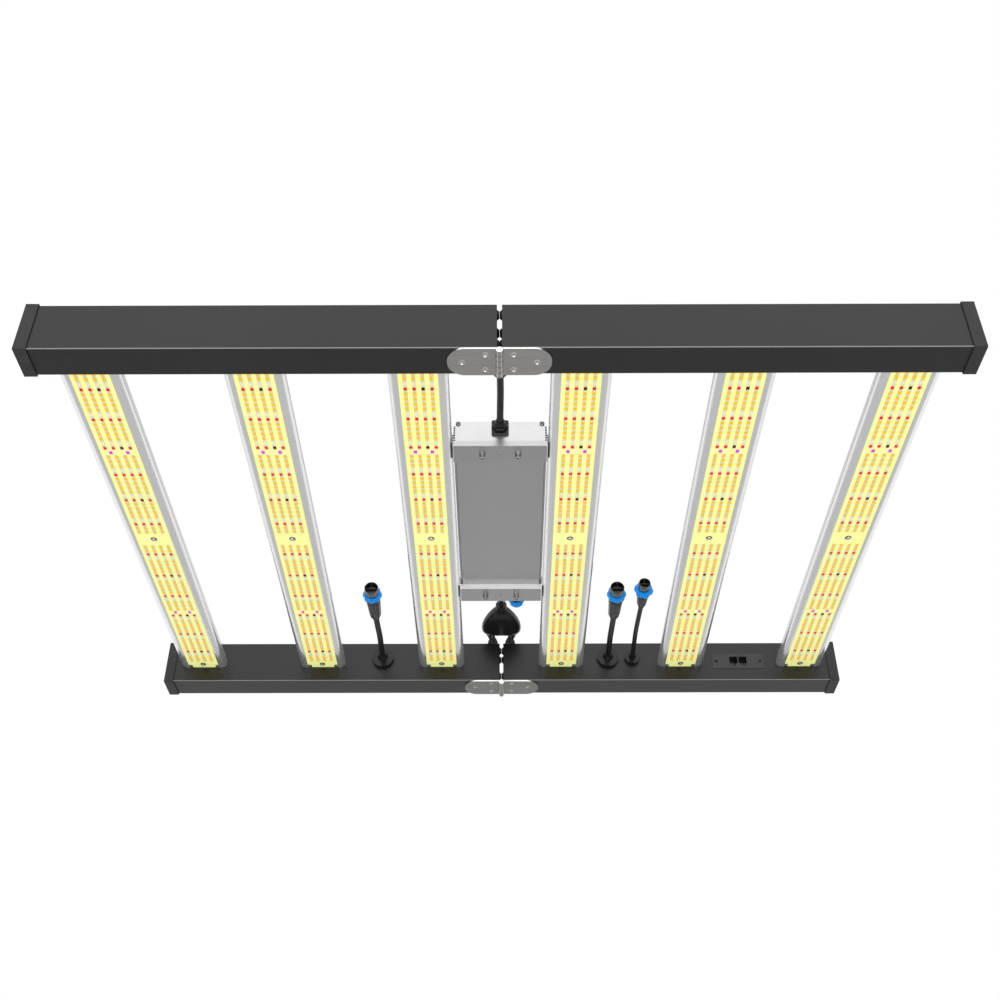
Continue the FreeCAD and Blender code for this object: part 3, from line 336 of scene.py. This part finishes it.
def phosphor(name, dark, light, painted_glow=0.0):
    material = surface(name, dark, light, (0.28, 0.42), scale=900.0, grain=4000.0, grain_strength=0.1,
                       grain_depth=0.00002, specular=0.1)
    shader = material.node_tree.nodes["Principled BSDF"]
    # painted glow: the unlit LED window emits its own colour
    shader.inputs["Emission Color"].default_value = (*light, 1)
    shader.inputs["Emission Strength"].default_value = painted_glow
    return material


def package_plastic():
    return surface("led_package", (0.78, 0.77, 0.60), (0.86, 0.85, 0.67), (0.35, 0.5), scale=800.0,
                   grain=3000.0)


MATERIALS = {
    "beam": powder_coat(), "cap": cap_plastic(), "dark_screw": dark_screw(), "hinge": brushed_steel(),
    "bright_screw": zinc(), "bar": anodised(), "board": solder_mask(), "wire": cable_rubber(),
    "fitting": nylon(), "ring": blue_plastic(), "jack": jack_plastic(), "driver": driver_metal(),
    "driver_plate": driver_plate(), "driver_foot": driver_foot(), "dark_steel": dark_steel(),
    "barrel": barrel_metal(), "contact": contact_gold(), "pcb": green_board(), "led": package_plastic(),
}
# the last number is each window's painted glow; the LEDs are unlit
LED_WINDOWS = {
    "O": phosphor("led_warm", (0.97, 0.38, 0.0), (1.0, 0.43, 0.0), 0.6),
    "W": phosphor("led_white", (0.97, 0.93, 0.66), (1.0, 0.97, 0.74), 0.12),
    "R": phosphor("led_red", (0.90, 0.001, 0.008), (1.0, 0.002, 0.012), 0.35),
    "D": phosphor("led_deep_red", (0.10, 0.0, 0.001), (0.16, 0.0, 0.002)),
    "M": phosphor("led_magenta", (0.90, 0.0, 0.80), (1.0, 0.0, 0.95), 0.3),
}


# ---- the CAD parts keep their shape and get their finish ----
NODE_FINISH = {"driver_end_plates": "driver_plate", "driver_brackets": "bar", "driver_feet": "driver_foot",
               "driver_fasteners": "dark_steel"}   # where a slot has two finishes


def finish_cad_nodes():
    slots = {entry["node"]: entry["material_slot"] for entry in frame["record"]["subparts"]}
    for name, obj in frame["nodes"].items():
        obj.data.materials.clear()
        obj.data.materials.append(MATERIALS[NODE_FINISH.get(name, slots[name])])


# ---- mesh helpers ----
def add_piece(name, mesh, body, materials, replaced=()):
    obj = bpy.data.objects.new(name, mesh)
    bpy.context.scene.collection.objects.link(obj)
    for material in materials:
        mesh.materials.append(material)
    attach(obj, body)
    if replaced:
        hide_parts(*replaced)
    return obj


def smooth(mesh, angle=math.radians(35)):
    mesh.polygons.foreach_set("use_smooth", [True] * len(mesh.polygons))
    mesh.set_sharp_from_angle(angle=angle)


# ---- LEDs ----
def led_geometry(faces, verts, x, y, window, index):
    """One package facing down: bevelled body, a sunk window and a slight dome of phosphor."""
    def loop(w, l, z):
        start = len(verts)
        verts.extend([(x - w, y - l, z), (x + w, y - l, z), (x + w, y + l, z), (x - w, y + l, z)])
        return [start + k for k in range(4)]

    body_w, body_l = LED_W / 2, LED_L / 2
    bevel = 0.00018
    win_w, win_l = window
    loops = [loop(body_w, body_l, BOARD_FACE), loop(body_w, body_l, LED_TOP + bevel),
             loop(body_w - bevel, body_l - bevel, LED_TOP), loop(win_w, win_l, LED_TOP),
             loop(win_w - 0.0001, win_l - 0.0001, LED_TOP + 0.00015)]
    for a, b in zip(loops, loops[1:]):
        for k in range(4):
            n = (k + 1) % 4
            faces.append(((a[n], a[k], b[k], b[n]), 0))
    inner = loop(win_w * 0.6, win_l * 0.6, LED_TOP + 0.00006)
    last = loops[-1]
    for k in range(4):
        n = (k + 1) % 4
        faces.append(((last[n], last[k], inner[k], inner[n]), index))
    faces.append(((inner[3], inner[2], inner[1], inner[0]), index))


def build_leds(side):
    verts = []
    faces = []
    kinds = list(LED_WINDOWS)
    for bar in BARS[side]:
        bar_x = centre(bar)[0]
        for row, kind in enumerate(ROW_KINDS):
            distance = FIRST_ROW + row * ROW_PITCH
            for sign in (-1, 1):
                for k, column in enumerate(PAIR if kind == "M" else COLUMNS):
                    shown = kind
                    if kind == "D" and k != 2:
                        shown = "R"
                    window = WINDOW[shown]
                    led_geometry(faces, verts, bar_x + column, sign * distance, window, 1 + kinds.index(shown))
    mesh = bpy.data.meshes.new(f"led_array_{side}")
    mesh.from_pydata(verts, [], [f for f, _ in faces])
    mesh.polygons.foreach_set("material_index", [m for _, m in faces])
    mesh.update()
    materials = [MATERIALS["led"]] + [LED_WINDOWS[k] for k in kinds]
    add_piece(f"led_array_{side}", mesh, HALF_BODY[side], materials, [f"leds_{side}"])


# ---- turned and moulded pieces ----
def revolve(bm, profile, base, direction, segments=48, closed=False, lobes=0, depth=0.0):
    """Turns (radius, distance, lobe weight) points, in mm, about a line that starts at base.

    closed joins the last point to the first, as in a ring; otherwise both ends are capped.
    """
    line = Vector(direction).normalized()
    side = line.orthogonal().normalized()
    other = line.cross(side)
    rings = []
    for radius, along, weight in profile:
        middle = Vector(base) + line * along * MM
        loop = []
        for k in range(segments):
            angle = 2 * math.pi * k / segments
            dent = depth * weight * (0.5 - 0.5 * math.cos(lobes * angle)) ** 1.6
            reach = radius * MM * (1 - dent)
            loop.append(bm.verts.new(middle + (side * math.cos(angle) + other * math.sin(angle)) * reach))
        rings.append(loop)
    pairs = list(zip(rings, rings[1:]))
    if closed:
        pairs.append((rings[-1], rings[0]))
    for low, high in pairs:
        for k in range(segments):
            n = (k + 1) % segments
            bm.faces.new((low[k], low[n], high[n], high[k]))
    if not closed:
        bm.faces.new(list(reversed(rings[0])))
        bm.faces.new(rings[-1])


def block(bm, low, high):
    """A box between two corners, in metres."""
    corners = []
    for i in range(8):
        corners.append(bm.verts.new([(low if i & bit else high)[axis] for axis, bit in enumerate((1, 2, 4))]))
    for face in ((0, 2, 3, 1), (4, 5, 7, 6), (0, 1, 5, 4), (2, 6, 7, 3), (0, 4, 6, 2), (1, 3, 7, 5)):
        bm.faces.new([corners[i] for i in face])


def finish_mesh(bm, name, body, finish, replaced=(), angle=35):
    bmesh.ops.recalc_face_normals(bm, faces=bm.faces)
    mesh = bpy.data.meshes.new(name)
    bm.to_mesh(mesh)
    bm.free()
    smooth(mesh, math.radians(angle))
    return add_piece(name, mesh, body, [MATERIALS[finish]], replaced)


def build_nut(name, node_name, body, neck, lobes, depth):
    """A blue locking ring: scalloped grip, a plain rim at the mating end and bevelled edges."""
    low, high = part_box(node_name)
    base = ((low[0] + high[0]) / 2, high[1], (low[2] + high[2]) / 2)
    outer = (high[0] - low[0]) / 2 / MM
    length = (high[1] - low[1]) / MM
    profile = [(neck, 0.0, 0), (outer - 2.4, 0.0, 0.6), (outer - 1.0, 0.5, 1), (outer - 0.2, 1.6, 1),
               (outer, 3.0, 1), (outer, length - 3.4, 1), (outer - 0.5, length - 2.6, 0.8),
               (outer - 1.7, length - 2.3, 0.1), (outer - 1.7, length - 0.7, 0.1), (outer - 2.4, length, 0),
               (neck, length, 0)]
    bm = bmesh.new()
    revolve(bm, profile, base, FRONTWARDS, 96, True, lobes, depth)
    return finish_mesh(bm, name, body, "ring", [node_name])


def build_plug(name, node_name, body, cable, waist, front, barrel):
    """An inline connector: ribbed relief, faceted body, collar, neck and an open barrel with a keyed insert."""
    low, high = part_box(node_name)
    x, z = (low[0] + high[0]) / 2, (low[2] + high[2]) / 2
    length = (high[1] - low[1]) / MM
    body_end = length - 30.2
    profile = [(cable, 0.0, 0), (cable + 0.9, 0.3, 0), (cable + 1.0, 2.6, 0), (cable + 0.5, 3.0, 0),
               (cable + 0.6, 3.8, 0), (cable + 1.5, 4.2, 0), (cable + 1.7, 6.6, 0), (cable + 1.1, 7.0, 0),
               (cable + 1.2, 7.8, 0), (waist - 0.6, 8.4, 0.5), (waist, 10.4, 1)]
    profile += [(waist + (front - waist) * t, 10.4 + (body_end - 11.4) * t, 1) for t in (0.35, 0.7, 1.0)]
    profile += [(front - 0.5, body_end - 0.5, 0), (front - 0.5, body_end + 0.3, 0),
                (front + 0.5, body_end + 0.7, 0), (front + 0.6, body_end + 4.4, 0),
                (front + 0.1, body_end + 5.0, 0), (barrel - 3.4, body_end + 5.1, 0),
                (barrel - 3.4, length - 14.2, 0), (barrel - 0.5, length - 14.1, 0), (barrel, length - 13.6, 0),
                (barrel, length - 9.2, 0), (barrel - 0.35, length - 8.9, 0), (barrel - 0.35, length - 8.1, 0),
                (barrel, length - 7.8, 0), (barrel, length - 0.6, 0), (barrel - 0.4, length, 0),
                (barrel - 1.1, length, 0), (barrel - 1.4, length - 0.4, 0), (barrel - 1.4, length - 11.0, 0),
                (barrel - 3.2, length - 11.0, 0), (barrel - 3.2, length - 7.0, 0),
                (barrel - 3.6, length - 6.6, 0)]
    bm = bmesh.new()
    revolve(bm, profile, (x, high[1], z), FRONTWARDS, 72, False, 8, 0.075)
    mouth = low[1]
    half = (barrel - 2.0) * MM
    for face in bm.faces:
        middle = face.calc_center_median()
        reach = math.hypot(middle.x - x, middle.z - z)
        if middle.y < mouth + 14 * MM and reach > (barrel - 0.6) * MM:
            face.material_index = 1
    block(bm, (x - half, mouth + 3.0 * MM, z - 0.5 * MM), (x + half, mouth + 9.0 * MM, z + 0.5 * MM))
    block(bm, (x - 0.5 * MM, mouth + 3.0 * MM, z), (x + 0.5 * MM, mouth + 9.0 * MM, z + half * 0.6))
    block(bm, (x - 1.2 * MM, mouth + 1.6 * MM, z + (barrel - 3.4) * MM),
          (x + 1.2 * MM, mouth + 9.8 * MM, z + (barrel - 1.2) * MM))
    obj = finish_mesh(bm, name, body, "fitting", [node_name], 40)
    obj.data.materials.append(MATERIALS["barrel"])
    return obj


def build_hinge_screws(side):
    """Raised heads with a crossed drive, sunk in the leaves' countersinks."""
    sign = -1 if side == "left" else 1
    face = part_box(f"hinge_leaves_{side}")[1][2]
    bm = bmesh.new()
    for beam_y in BEAM_LINES:
        for x, y in HINGE_SCREWS:
            base = (sign * x, beam_y + y, face)
            profile = [(1.9, 0.0, 0), (3.2, 1.3, 0), (3.55, 1.7, 0), (3.6, 2.1, 0), (3.1, 2.5, 0),
                       (2.3, 2.7, 1), (2.0, 2.5, 1), (1.7, 1.3, 1), (0.4, 1.1, 0)]
            revolve(bm, profile, base, DOWNWARDS, 48, False, 4, 0.6)
    finish_mesh(bm, f"hinge_screw_heads_{side}", HALF_BODY[side], "bright_screw",
                [f"hinge_screws_{side}"])


def build_board_screws(side):
    """Pan heads on dark washers, at the middle and both ends of each LED board."""
    low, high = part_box(f"board_screws_{side}")
    heads = bmesh.new()
    washers = bmesh.new()
    end = high[1] - BOARD_HEAD * MM
    for bar in BARS[side]:
        for y in (-end, 0.0, end):
            base = (centre(bar)[0], y, BOARD_FACE)
            washer = [(BOARD_HEAD, -0.2, 0), (BOARD_HEAD, 0.45, 0), (BOARD_HEAD - 0.2, 0.6, 0), (2.0, 0.6, 0)]
            revolve(washers, washer, base, DOWNWARDS, 40)
            head = [(1.5, 0.0, 0), (3.35, 0.5, 0), (3.4, 1.2, 0), (3.0, 1.75, 0), (2.2, 2.1, 1),
                    (1.9, 2.0, 1), (1.6, 1.1, 1), (0.4, 1.0, 0)]
            revolve(heads, head, base, DOWNWARDS, 40, False, 4, 0.6)
    finish_mesh(washers, f"board_washers_{side}", HALF_BODY[side], "dark_screw")
    finish_mesh(heads, f"board_screw_heads_{side}", HALF_BODY[side], "bright_screw",
                [f"board_screws_{side}"])


def build_jack():
    """A twin modular jack: two deep openings, each with a stepped key slot and eight contacts."""
    low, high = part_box("control_jack")
    mid_x = (low[0] + high[0]) / 2
    mid_z = (low[2] + high[2]) / 2
    face = low[1]
    back = high[1]
    wide, tall, depth = 13.2 * MM, 17.6 * MM, 12.0 * MM
    wall = 0.9 * MM
    bm = bmesh.new()
    contacts = bmesh.new()
    top = mid_z + tall / 2
    bottom = mid_z - tall / 2
    outer = wide + wall
    block(bm, (low[0], face, low[2]), (mid_x - outer, back, high[2]))
    block(bm, (mid_x + outer, face, low[2]), (high[0], back, high[2]))
    block(bm, (mid_x - outer, face, top), (mid_x + outer, back, high[2]))
    block(bm, (mid_x - outer, face, low[2]), (mid_x + outer, back, bottom))
    block(bm, (mid_x - wall, face + 0.5 * MM, bottom), (mid_x + wall, back, top))
    block(bm, (mid_x - outer, face + depth, bottom), (mid_x + outer, back, top))
    for port in (mid_x - outer / 2 - wall / 4, mid_x + outer / 2 + wall / 4):
        for side in (-1, 1):
            edge = port + side * wide / 2
            inner = port + side * 3.4 * MM
            block(bm, (min(edge, inner), face + 0.6 * MM, bottom),
                  (max(edge, inner), back, bottom + 5.2 * MM))
        for k in range(8):
            x = port + (k - 3.5) * 1.15 * MM
            block(contacts, (x - 0.22 * MM, face + 3.0 * MM, top - 1.5 * MM),
                  (x + 0.22 * MM, face + depth, top - 1.0 * MM))
    finish_mesh(bm, "control_jack_block", "right_half", "jack", ["control_jack"])
    finish_mesh(contacts, "control_jack_contacts", "right_half", "contact")


def build_splitter_plugs():
    """Domed plugs with upright grip ribs."""
    low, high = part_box("splitter_plugs")
    radius = (high[1] - low[1]) / 2 / MM
    height = (high[2] - low[2]) / MM
    bm = bmesh.new()
    for x in (low[0] + radius * MM, high[0] - radius * MM):
        profile = [(radius - 0.8, 0.0, 0), (radius, 0.6, 0), (radius, 2.2, 0), (radius - 0.5, 2.6, 0),
                   (radius - 0.2, 3.4, 1), (radius - 0.3, height * 0.50, 1), (radius - 1.2, height * 0.62, 1),
                   (radius * 0.72, height * 0.76, 0.5), (radius * 0.52, height * 0.84, 0),
                   (radius * 0.48, height * 0.93, 0), (radius * 0.42, height, 0)]
        revolve(bm, profile, (x, (low[1] + high[1]) / 2, low[2]), (0, 0, 1), 96, False, 16, 0.10)
    finish_mesh(bm, "splitter_plug_bodies", "driver_unit", "fitting", ["splitter_plugs"], 40)


def build_supply_plug():
    """The mains inlet plug: ribbed relief, knurled nut, plain barrel and an open face with a keyed insert."""
    low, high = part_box("supply_plug")
    x, z = (low[0] + high[0]) / 2, (low[2] + high[2]) / 2
    profile = [(5.0, 0.0, 0), (7.0, 0.4, 0), (7.4, 1.2, 0), (8.6, 2.2, 0), (9.0, 3.4, 1), (9.0, 13.0, 1),
               (8.6, 13.4, 0), (8.4, 13.6, 0), (8.4, 15.0, 0), (8.8, 15.4, 0), (9.0, 16.0, 0), (9.0, 27.2, 0),
               (8.6, 27.9, 0), (7.6, 28.0, 0), (7.6, 41.0, 0), (8.6, 41.0, 0), (9.0, 41.6, 0), (9.0, 47.4, 0),
               (8.6, 48.0, 0), (7.4, 48.0, 0), (7.2, 47.6, 0), (7.2, 43.6, 0), (4.4, 43.6, 0), (4.4, 46.4, 0),
               (4.0, 46.8, 0)]
    bm = bmesh.new()
    revolve(bm, profile, (x, high[1], z), FRONTWARDS, 96, False, 18, 0.07)
    return finish_mesh(bm, "mains_connector", "driver_unit", "fitting", ["supply_plug"], 40)


# ---- cords ----
def cord(name, node_name, body, route, diameter, pieces):
    curve = bpy.data.curves.new(name, "CURVE")
    curve.dimensions = "3D"
    curve.bevel_depth = diameter / 2
    curve.bevel_resolution = 8
    curve.resolution_u = 16
    curve.use_fill_caps = True
    spline = curve.splines.new("NURBS")
    spline.points.add(len(route) - 1)
    for point, place in zip(spline.points, route):
        point.co = (*place, 1)
    spline.order_u = 3
    spline.use_endpoint_u = True
    obj = bpy.data.objects.new(name, curve)
    bpy.context.scene.collection.objects.link(obj)
    curve.materials.append(MATERIALS["wire"])
    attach(obj, body)
    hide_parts(node_name)


def build_cords():
    """The routes' points are the CAD tubes' own, in metres."""
    nut_left = build_nut("power_nut_left", "lead_ring_left", "ring_left", 7.2, 8, 0.10)
    nut_right = build_nut("power_nut_right", "lead_ring_right", "ring_right", 7.2, 8, 0.10)
    nut_dimmer = build_nut("dimming_nut", "dimmer_ring", "ring_dimmer", 5.4, 6, 0.14)
    build_nut("port_nut", "port_ring", "ring_port", 8.1, 8, 0.10)
    plug_left = build_plug("power_connector_left", "lead_plug_left", "left_half", 4.7, 8.9, 11.2, 10.5)
    plug_right = build_plug("power_connector_right", "lead_plug_right", "right_half", 4.7, 8.9, 11.2, 10.5)
    plug_dimmer = build_plug("dimming_connector", "dimmer_plug", "right_half", 3.85, 7.4, 9.0, 8.7)
    cord("power_lead_left", "lead_left", "left_half",
         [(-0.195, 0.35175, 0.0465), (-0.19455, 0.322, 0.0455), (-0.1935, 0.290, 0.0431),
          (-0.19425, 0.259, 0.0422), (-0.195, 0.230, 0.0425)], 0.009, [plug_left, nut_left])
    cord("power_lead_right", "lead_right", "right_half",
         [(0.175, 0.35175, 0.0465), (0.17464, 0.322, 0.0455), (0.1738, 0.290, 0.0431),
          (0.1744, 0.259, 0.0422), (0.175, 0.230, 0.0425)], 0.009, [plug_right, nut_right])
    cord("dimming_lead", "dimmer_lead", "right_half",
         [(0.215, 0.35175, 0.0465), (0.2142, 0.312, 0.0454), (0.213, 0.273, 0.0427), (0.2138, 0.234, 0.0421),
          (0.215, 0.198, 0.0425)], 0.0073, [plug_dimmer, nut_dimmer])
    cord("mains_lead", "supply_lead", "driver_unit",
         [(0.0, -0.224, 0.0586), (0.0003, -0.252, 0.0578), (0.0009, -0.283, 0.0560), (0.0004, -0.313, 0.0556)],
         0.0087, [build_supply_plug()])


# ---- splitter ----
def splitter_body(bm, low, high):
    """A pear-shaped moulding: superellipse sections along Y, widest near the leads' end."""
    stations = [(0.0, 0.27, 0.55), (0.05, 0.36, 0.80), (0.14, 0.50, 0.92), (0.28, 0.69, 0.98),
                (0.45, 0.86, 1.0), (0.62, 0.97, 1.0), (0.75, 1.0, 1.0), (0.86, 0.985, 0.97),
                (0.94, 0.91, 0.86), (0.985, 0.76, 0.62), (1.0, 0.60, 0.36)]
    segments = 48
    power = 2.0 / 2.7
    half_x = (high[0] - low[0]) / 2
    half_z = (high[2] - low[2]) / 2
    mid_z = (high[2] + low[2]) / 2
    start = low[1] + 12 * MM
    length = high[1] - 8 * MM - start
    rings = []
    for t, wide, thick in stations:
        loop = []
        for k in range(segments):
            angle = 2 * math.pi * k / segments
            c, z = math.cos(angle), math.sin(angle)
            loop.append(bm.verts.new((half_x * wide * math.copysign(abs(c) ** power, c), start + t * length,
                                      mid_z + half_z * thick * math.copysign(abs(z) ** power, z))))
        rings.append(loop)
    for a, b in zip(rings, rings[1:]):
        for k in range(segments):
            n = (k + 1) % segments
            bm.faces.new((a[k], b[k], b[n], a[n]))
    bm.faces.new(rings[0])
    bm.faces.new(list(reversed(rings[-1])))


def build_splitter():
    low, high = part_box("splitter")
    mid_z = (low[2] + high[2]) / 2
    bm = bmesh.new()
    splitter_body(bm, low, high)
    entry = [(7.2, 0, 0), (8.8, 0.6, 1), (9.0, 1.4, 1), (9.0, 6.6, 1), (8.4, 7.2, 0), (8.4, 8.2, 0),
             (9.0, 8.8, 0), (9.0, 14.0, 0), (8.0, 20.0, 0)]
    revolve(bm, entry, (0, low[1], mid_z), (0, 1, 0), 96, False, 12, 0.06)
    leaving = [(4.4, 0, 0), (5.0, 0.4, 0), (5.3, 1.6, 0), (4.9, 2.0, 0), (5.6, 2.6, 0), (5.9, 4.2, 0),
               (5.4, 4.6, 0), (6.2, 5.2, 0), (6.8, 9.0, 0), (7.4, 16.0, 0)]
    for x in (-19 * MM, 19 * MM):
        revolve(bm, leaving, (x, high[1], mid_z), FRONTWARDS, 32)
    finish_mesh(bm, "splitter_moulding", "driver_unit", "fitting", ["splitter"])


# ---- studio ----
def floor_paint():
    """Pale paint that fades into the backdrop at the floor's edge, as in a studio cove."""
    material = surface("floor_paint", (0.79, 0.79, 0.79), (0.82, 0.82, 0.82), (0.6, 0.8), scale=2.0, grain=60.0)
    tree = material.node_tree
    centre_line = tree.nodes.new("ShaderNodeVectorMath")
    centre_line.operation = "LENGTH"
    source = tree.nodes.new("ShaderNodeTexCoord")
    tree.links.new(source.outputs["Object"], centre_line.inputs[0])
    solid = remap(tree, centre_line.outputs["Value"], 1.0, 0.0, FLOOR_RADIUS * 0.66, FLOOR_RADIUS)
    tree.links.new(solid, tree.nodes["Principled BSDF"].inputs["Alpha"])
    return material


def build_stage():
    bm = bmesh.new()
    bmesh.ops.create_circle(bm, cap_ends=True, segments=96, radius=FLOOR_RADIUS)
    mesh = bpy.data.meshes.new("floor")
    bm.to_mesh(mesh)
    bm.free()
    floor = bpy.data.objects.new("floor", mesh)
    floor.location = (0, 0.3, FLOOR_LEVEL)
    bpy.context.scene.collection.objects.link(floor)
    mesh.materials.append(floor_paint())


def area_light(name, place, target, size, power):
    light = bpy.data.lights.new(name, "AREA")
    light.shape = "RECTANGLE"
    light.size, light.size_y = size
    light.energy = power
    obj = bpy.data.objects.new(name, light)
    obj.location = place
    obj.rotation_euler = (Vector(target) - Vector(place)).to_track_quat("-Z", "Y").to_euler()
    bpy.context.scene.collection.objects.link(obj)


def build_world():
    """A white backdrop, with a studio round it that is brightest near the horizon and soft overhead."""
    world = bpy.data.worlds.new("studio")
    world.use_nodes = True
    tree = world.node_tree
    background = tree.nodes["Background"]
    source = tree.nodes.new("ShaderNodeTexCoord")
    split = tree.nodes.new("ShaderNodeSeparateXYZ")
    tree.links.new(source.outputs["Generated"], split.inputs["Vector"])
    ramp = tree.nodes.new("ShaderNodeValToRGB")
    tree.links.new(split.outputs["Z"], ramp.inputs["Fac"])
    levels = [(0.0, 0.95), (0.45, 0.85), (0.80, 0.40), (1.0, 0.25)]
    while len(ramp.color_ramp.elements) < len(levels):
        ramp.color_ramp.elements.new(0.5)
    for element, (place, level) in zip(ramp.color_ramp.elements, levels):
        element.position = place
        element.color = (level, level, level, 1)
    rays = tree.nodes.new("ShaderNodeLightPath")
    mix = tree.nodes.new("ShaderNodeMix")
    mix.data_type = "RGBA"
    tree.links.new(rays.outputs["Is Camera Ray"], mix.inputs["Factor"])
    tree.links.new(ramp.outputs["Color"], mix.inputs[6])
    mix.inputs[7].default_value = (1, 1, 1, 1)
    tree.links.new(mix.outputs[2], background.inputs["Color"])
    background.inputs["Strength"].default_value = 1.0
    bpy.context.scene.world = world


def build_lights():
    area_light("front_softbox", (0.0, -2.1, 1.75), (0, 0, 0), (3.6, 1.7), 17)
    area_light("low_strip", (0.0, -1.5, -1.2), (0.0, -1.5, 0.0), (2.6, 0.32), 15)
    bpy.context.scene.view_settings.view_transform = "Standard"


def build_camera():
    camera = bpy.data.cameras.new("camera")
    camera.sensor_width = 36.0
    camera.lens = 44.73
    obj = bpy.data.objects.new("camera", camera)
    obj.location = (0.0045, -1.430, -0.970)
    obj.rotation_euler = (math.radians(90 + 36.78), 0, math.radians(0.218))
    bpy.context.scene.collection.objects.link(obj)
    bpy.context.scene.camera = obj


finish_cad_nodes()
for half in HALF_BODY:
    build_leds(half)
for half in BARS:
    build_hinge_screws(half)
    build_board_screws(half)
build_cords()
build_splitter()
build_splitter_plugs()
build_jack()
build_stage()
build_world()
build_lights()
build_camera()
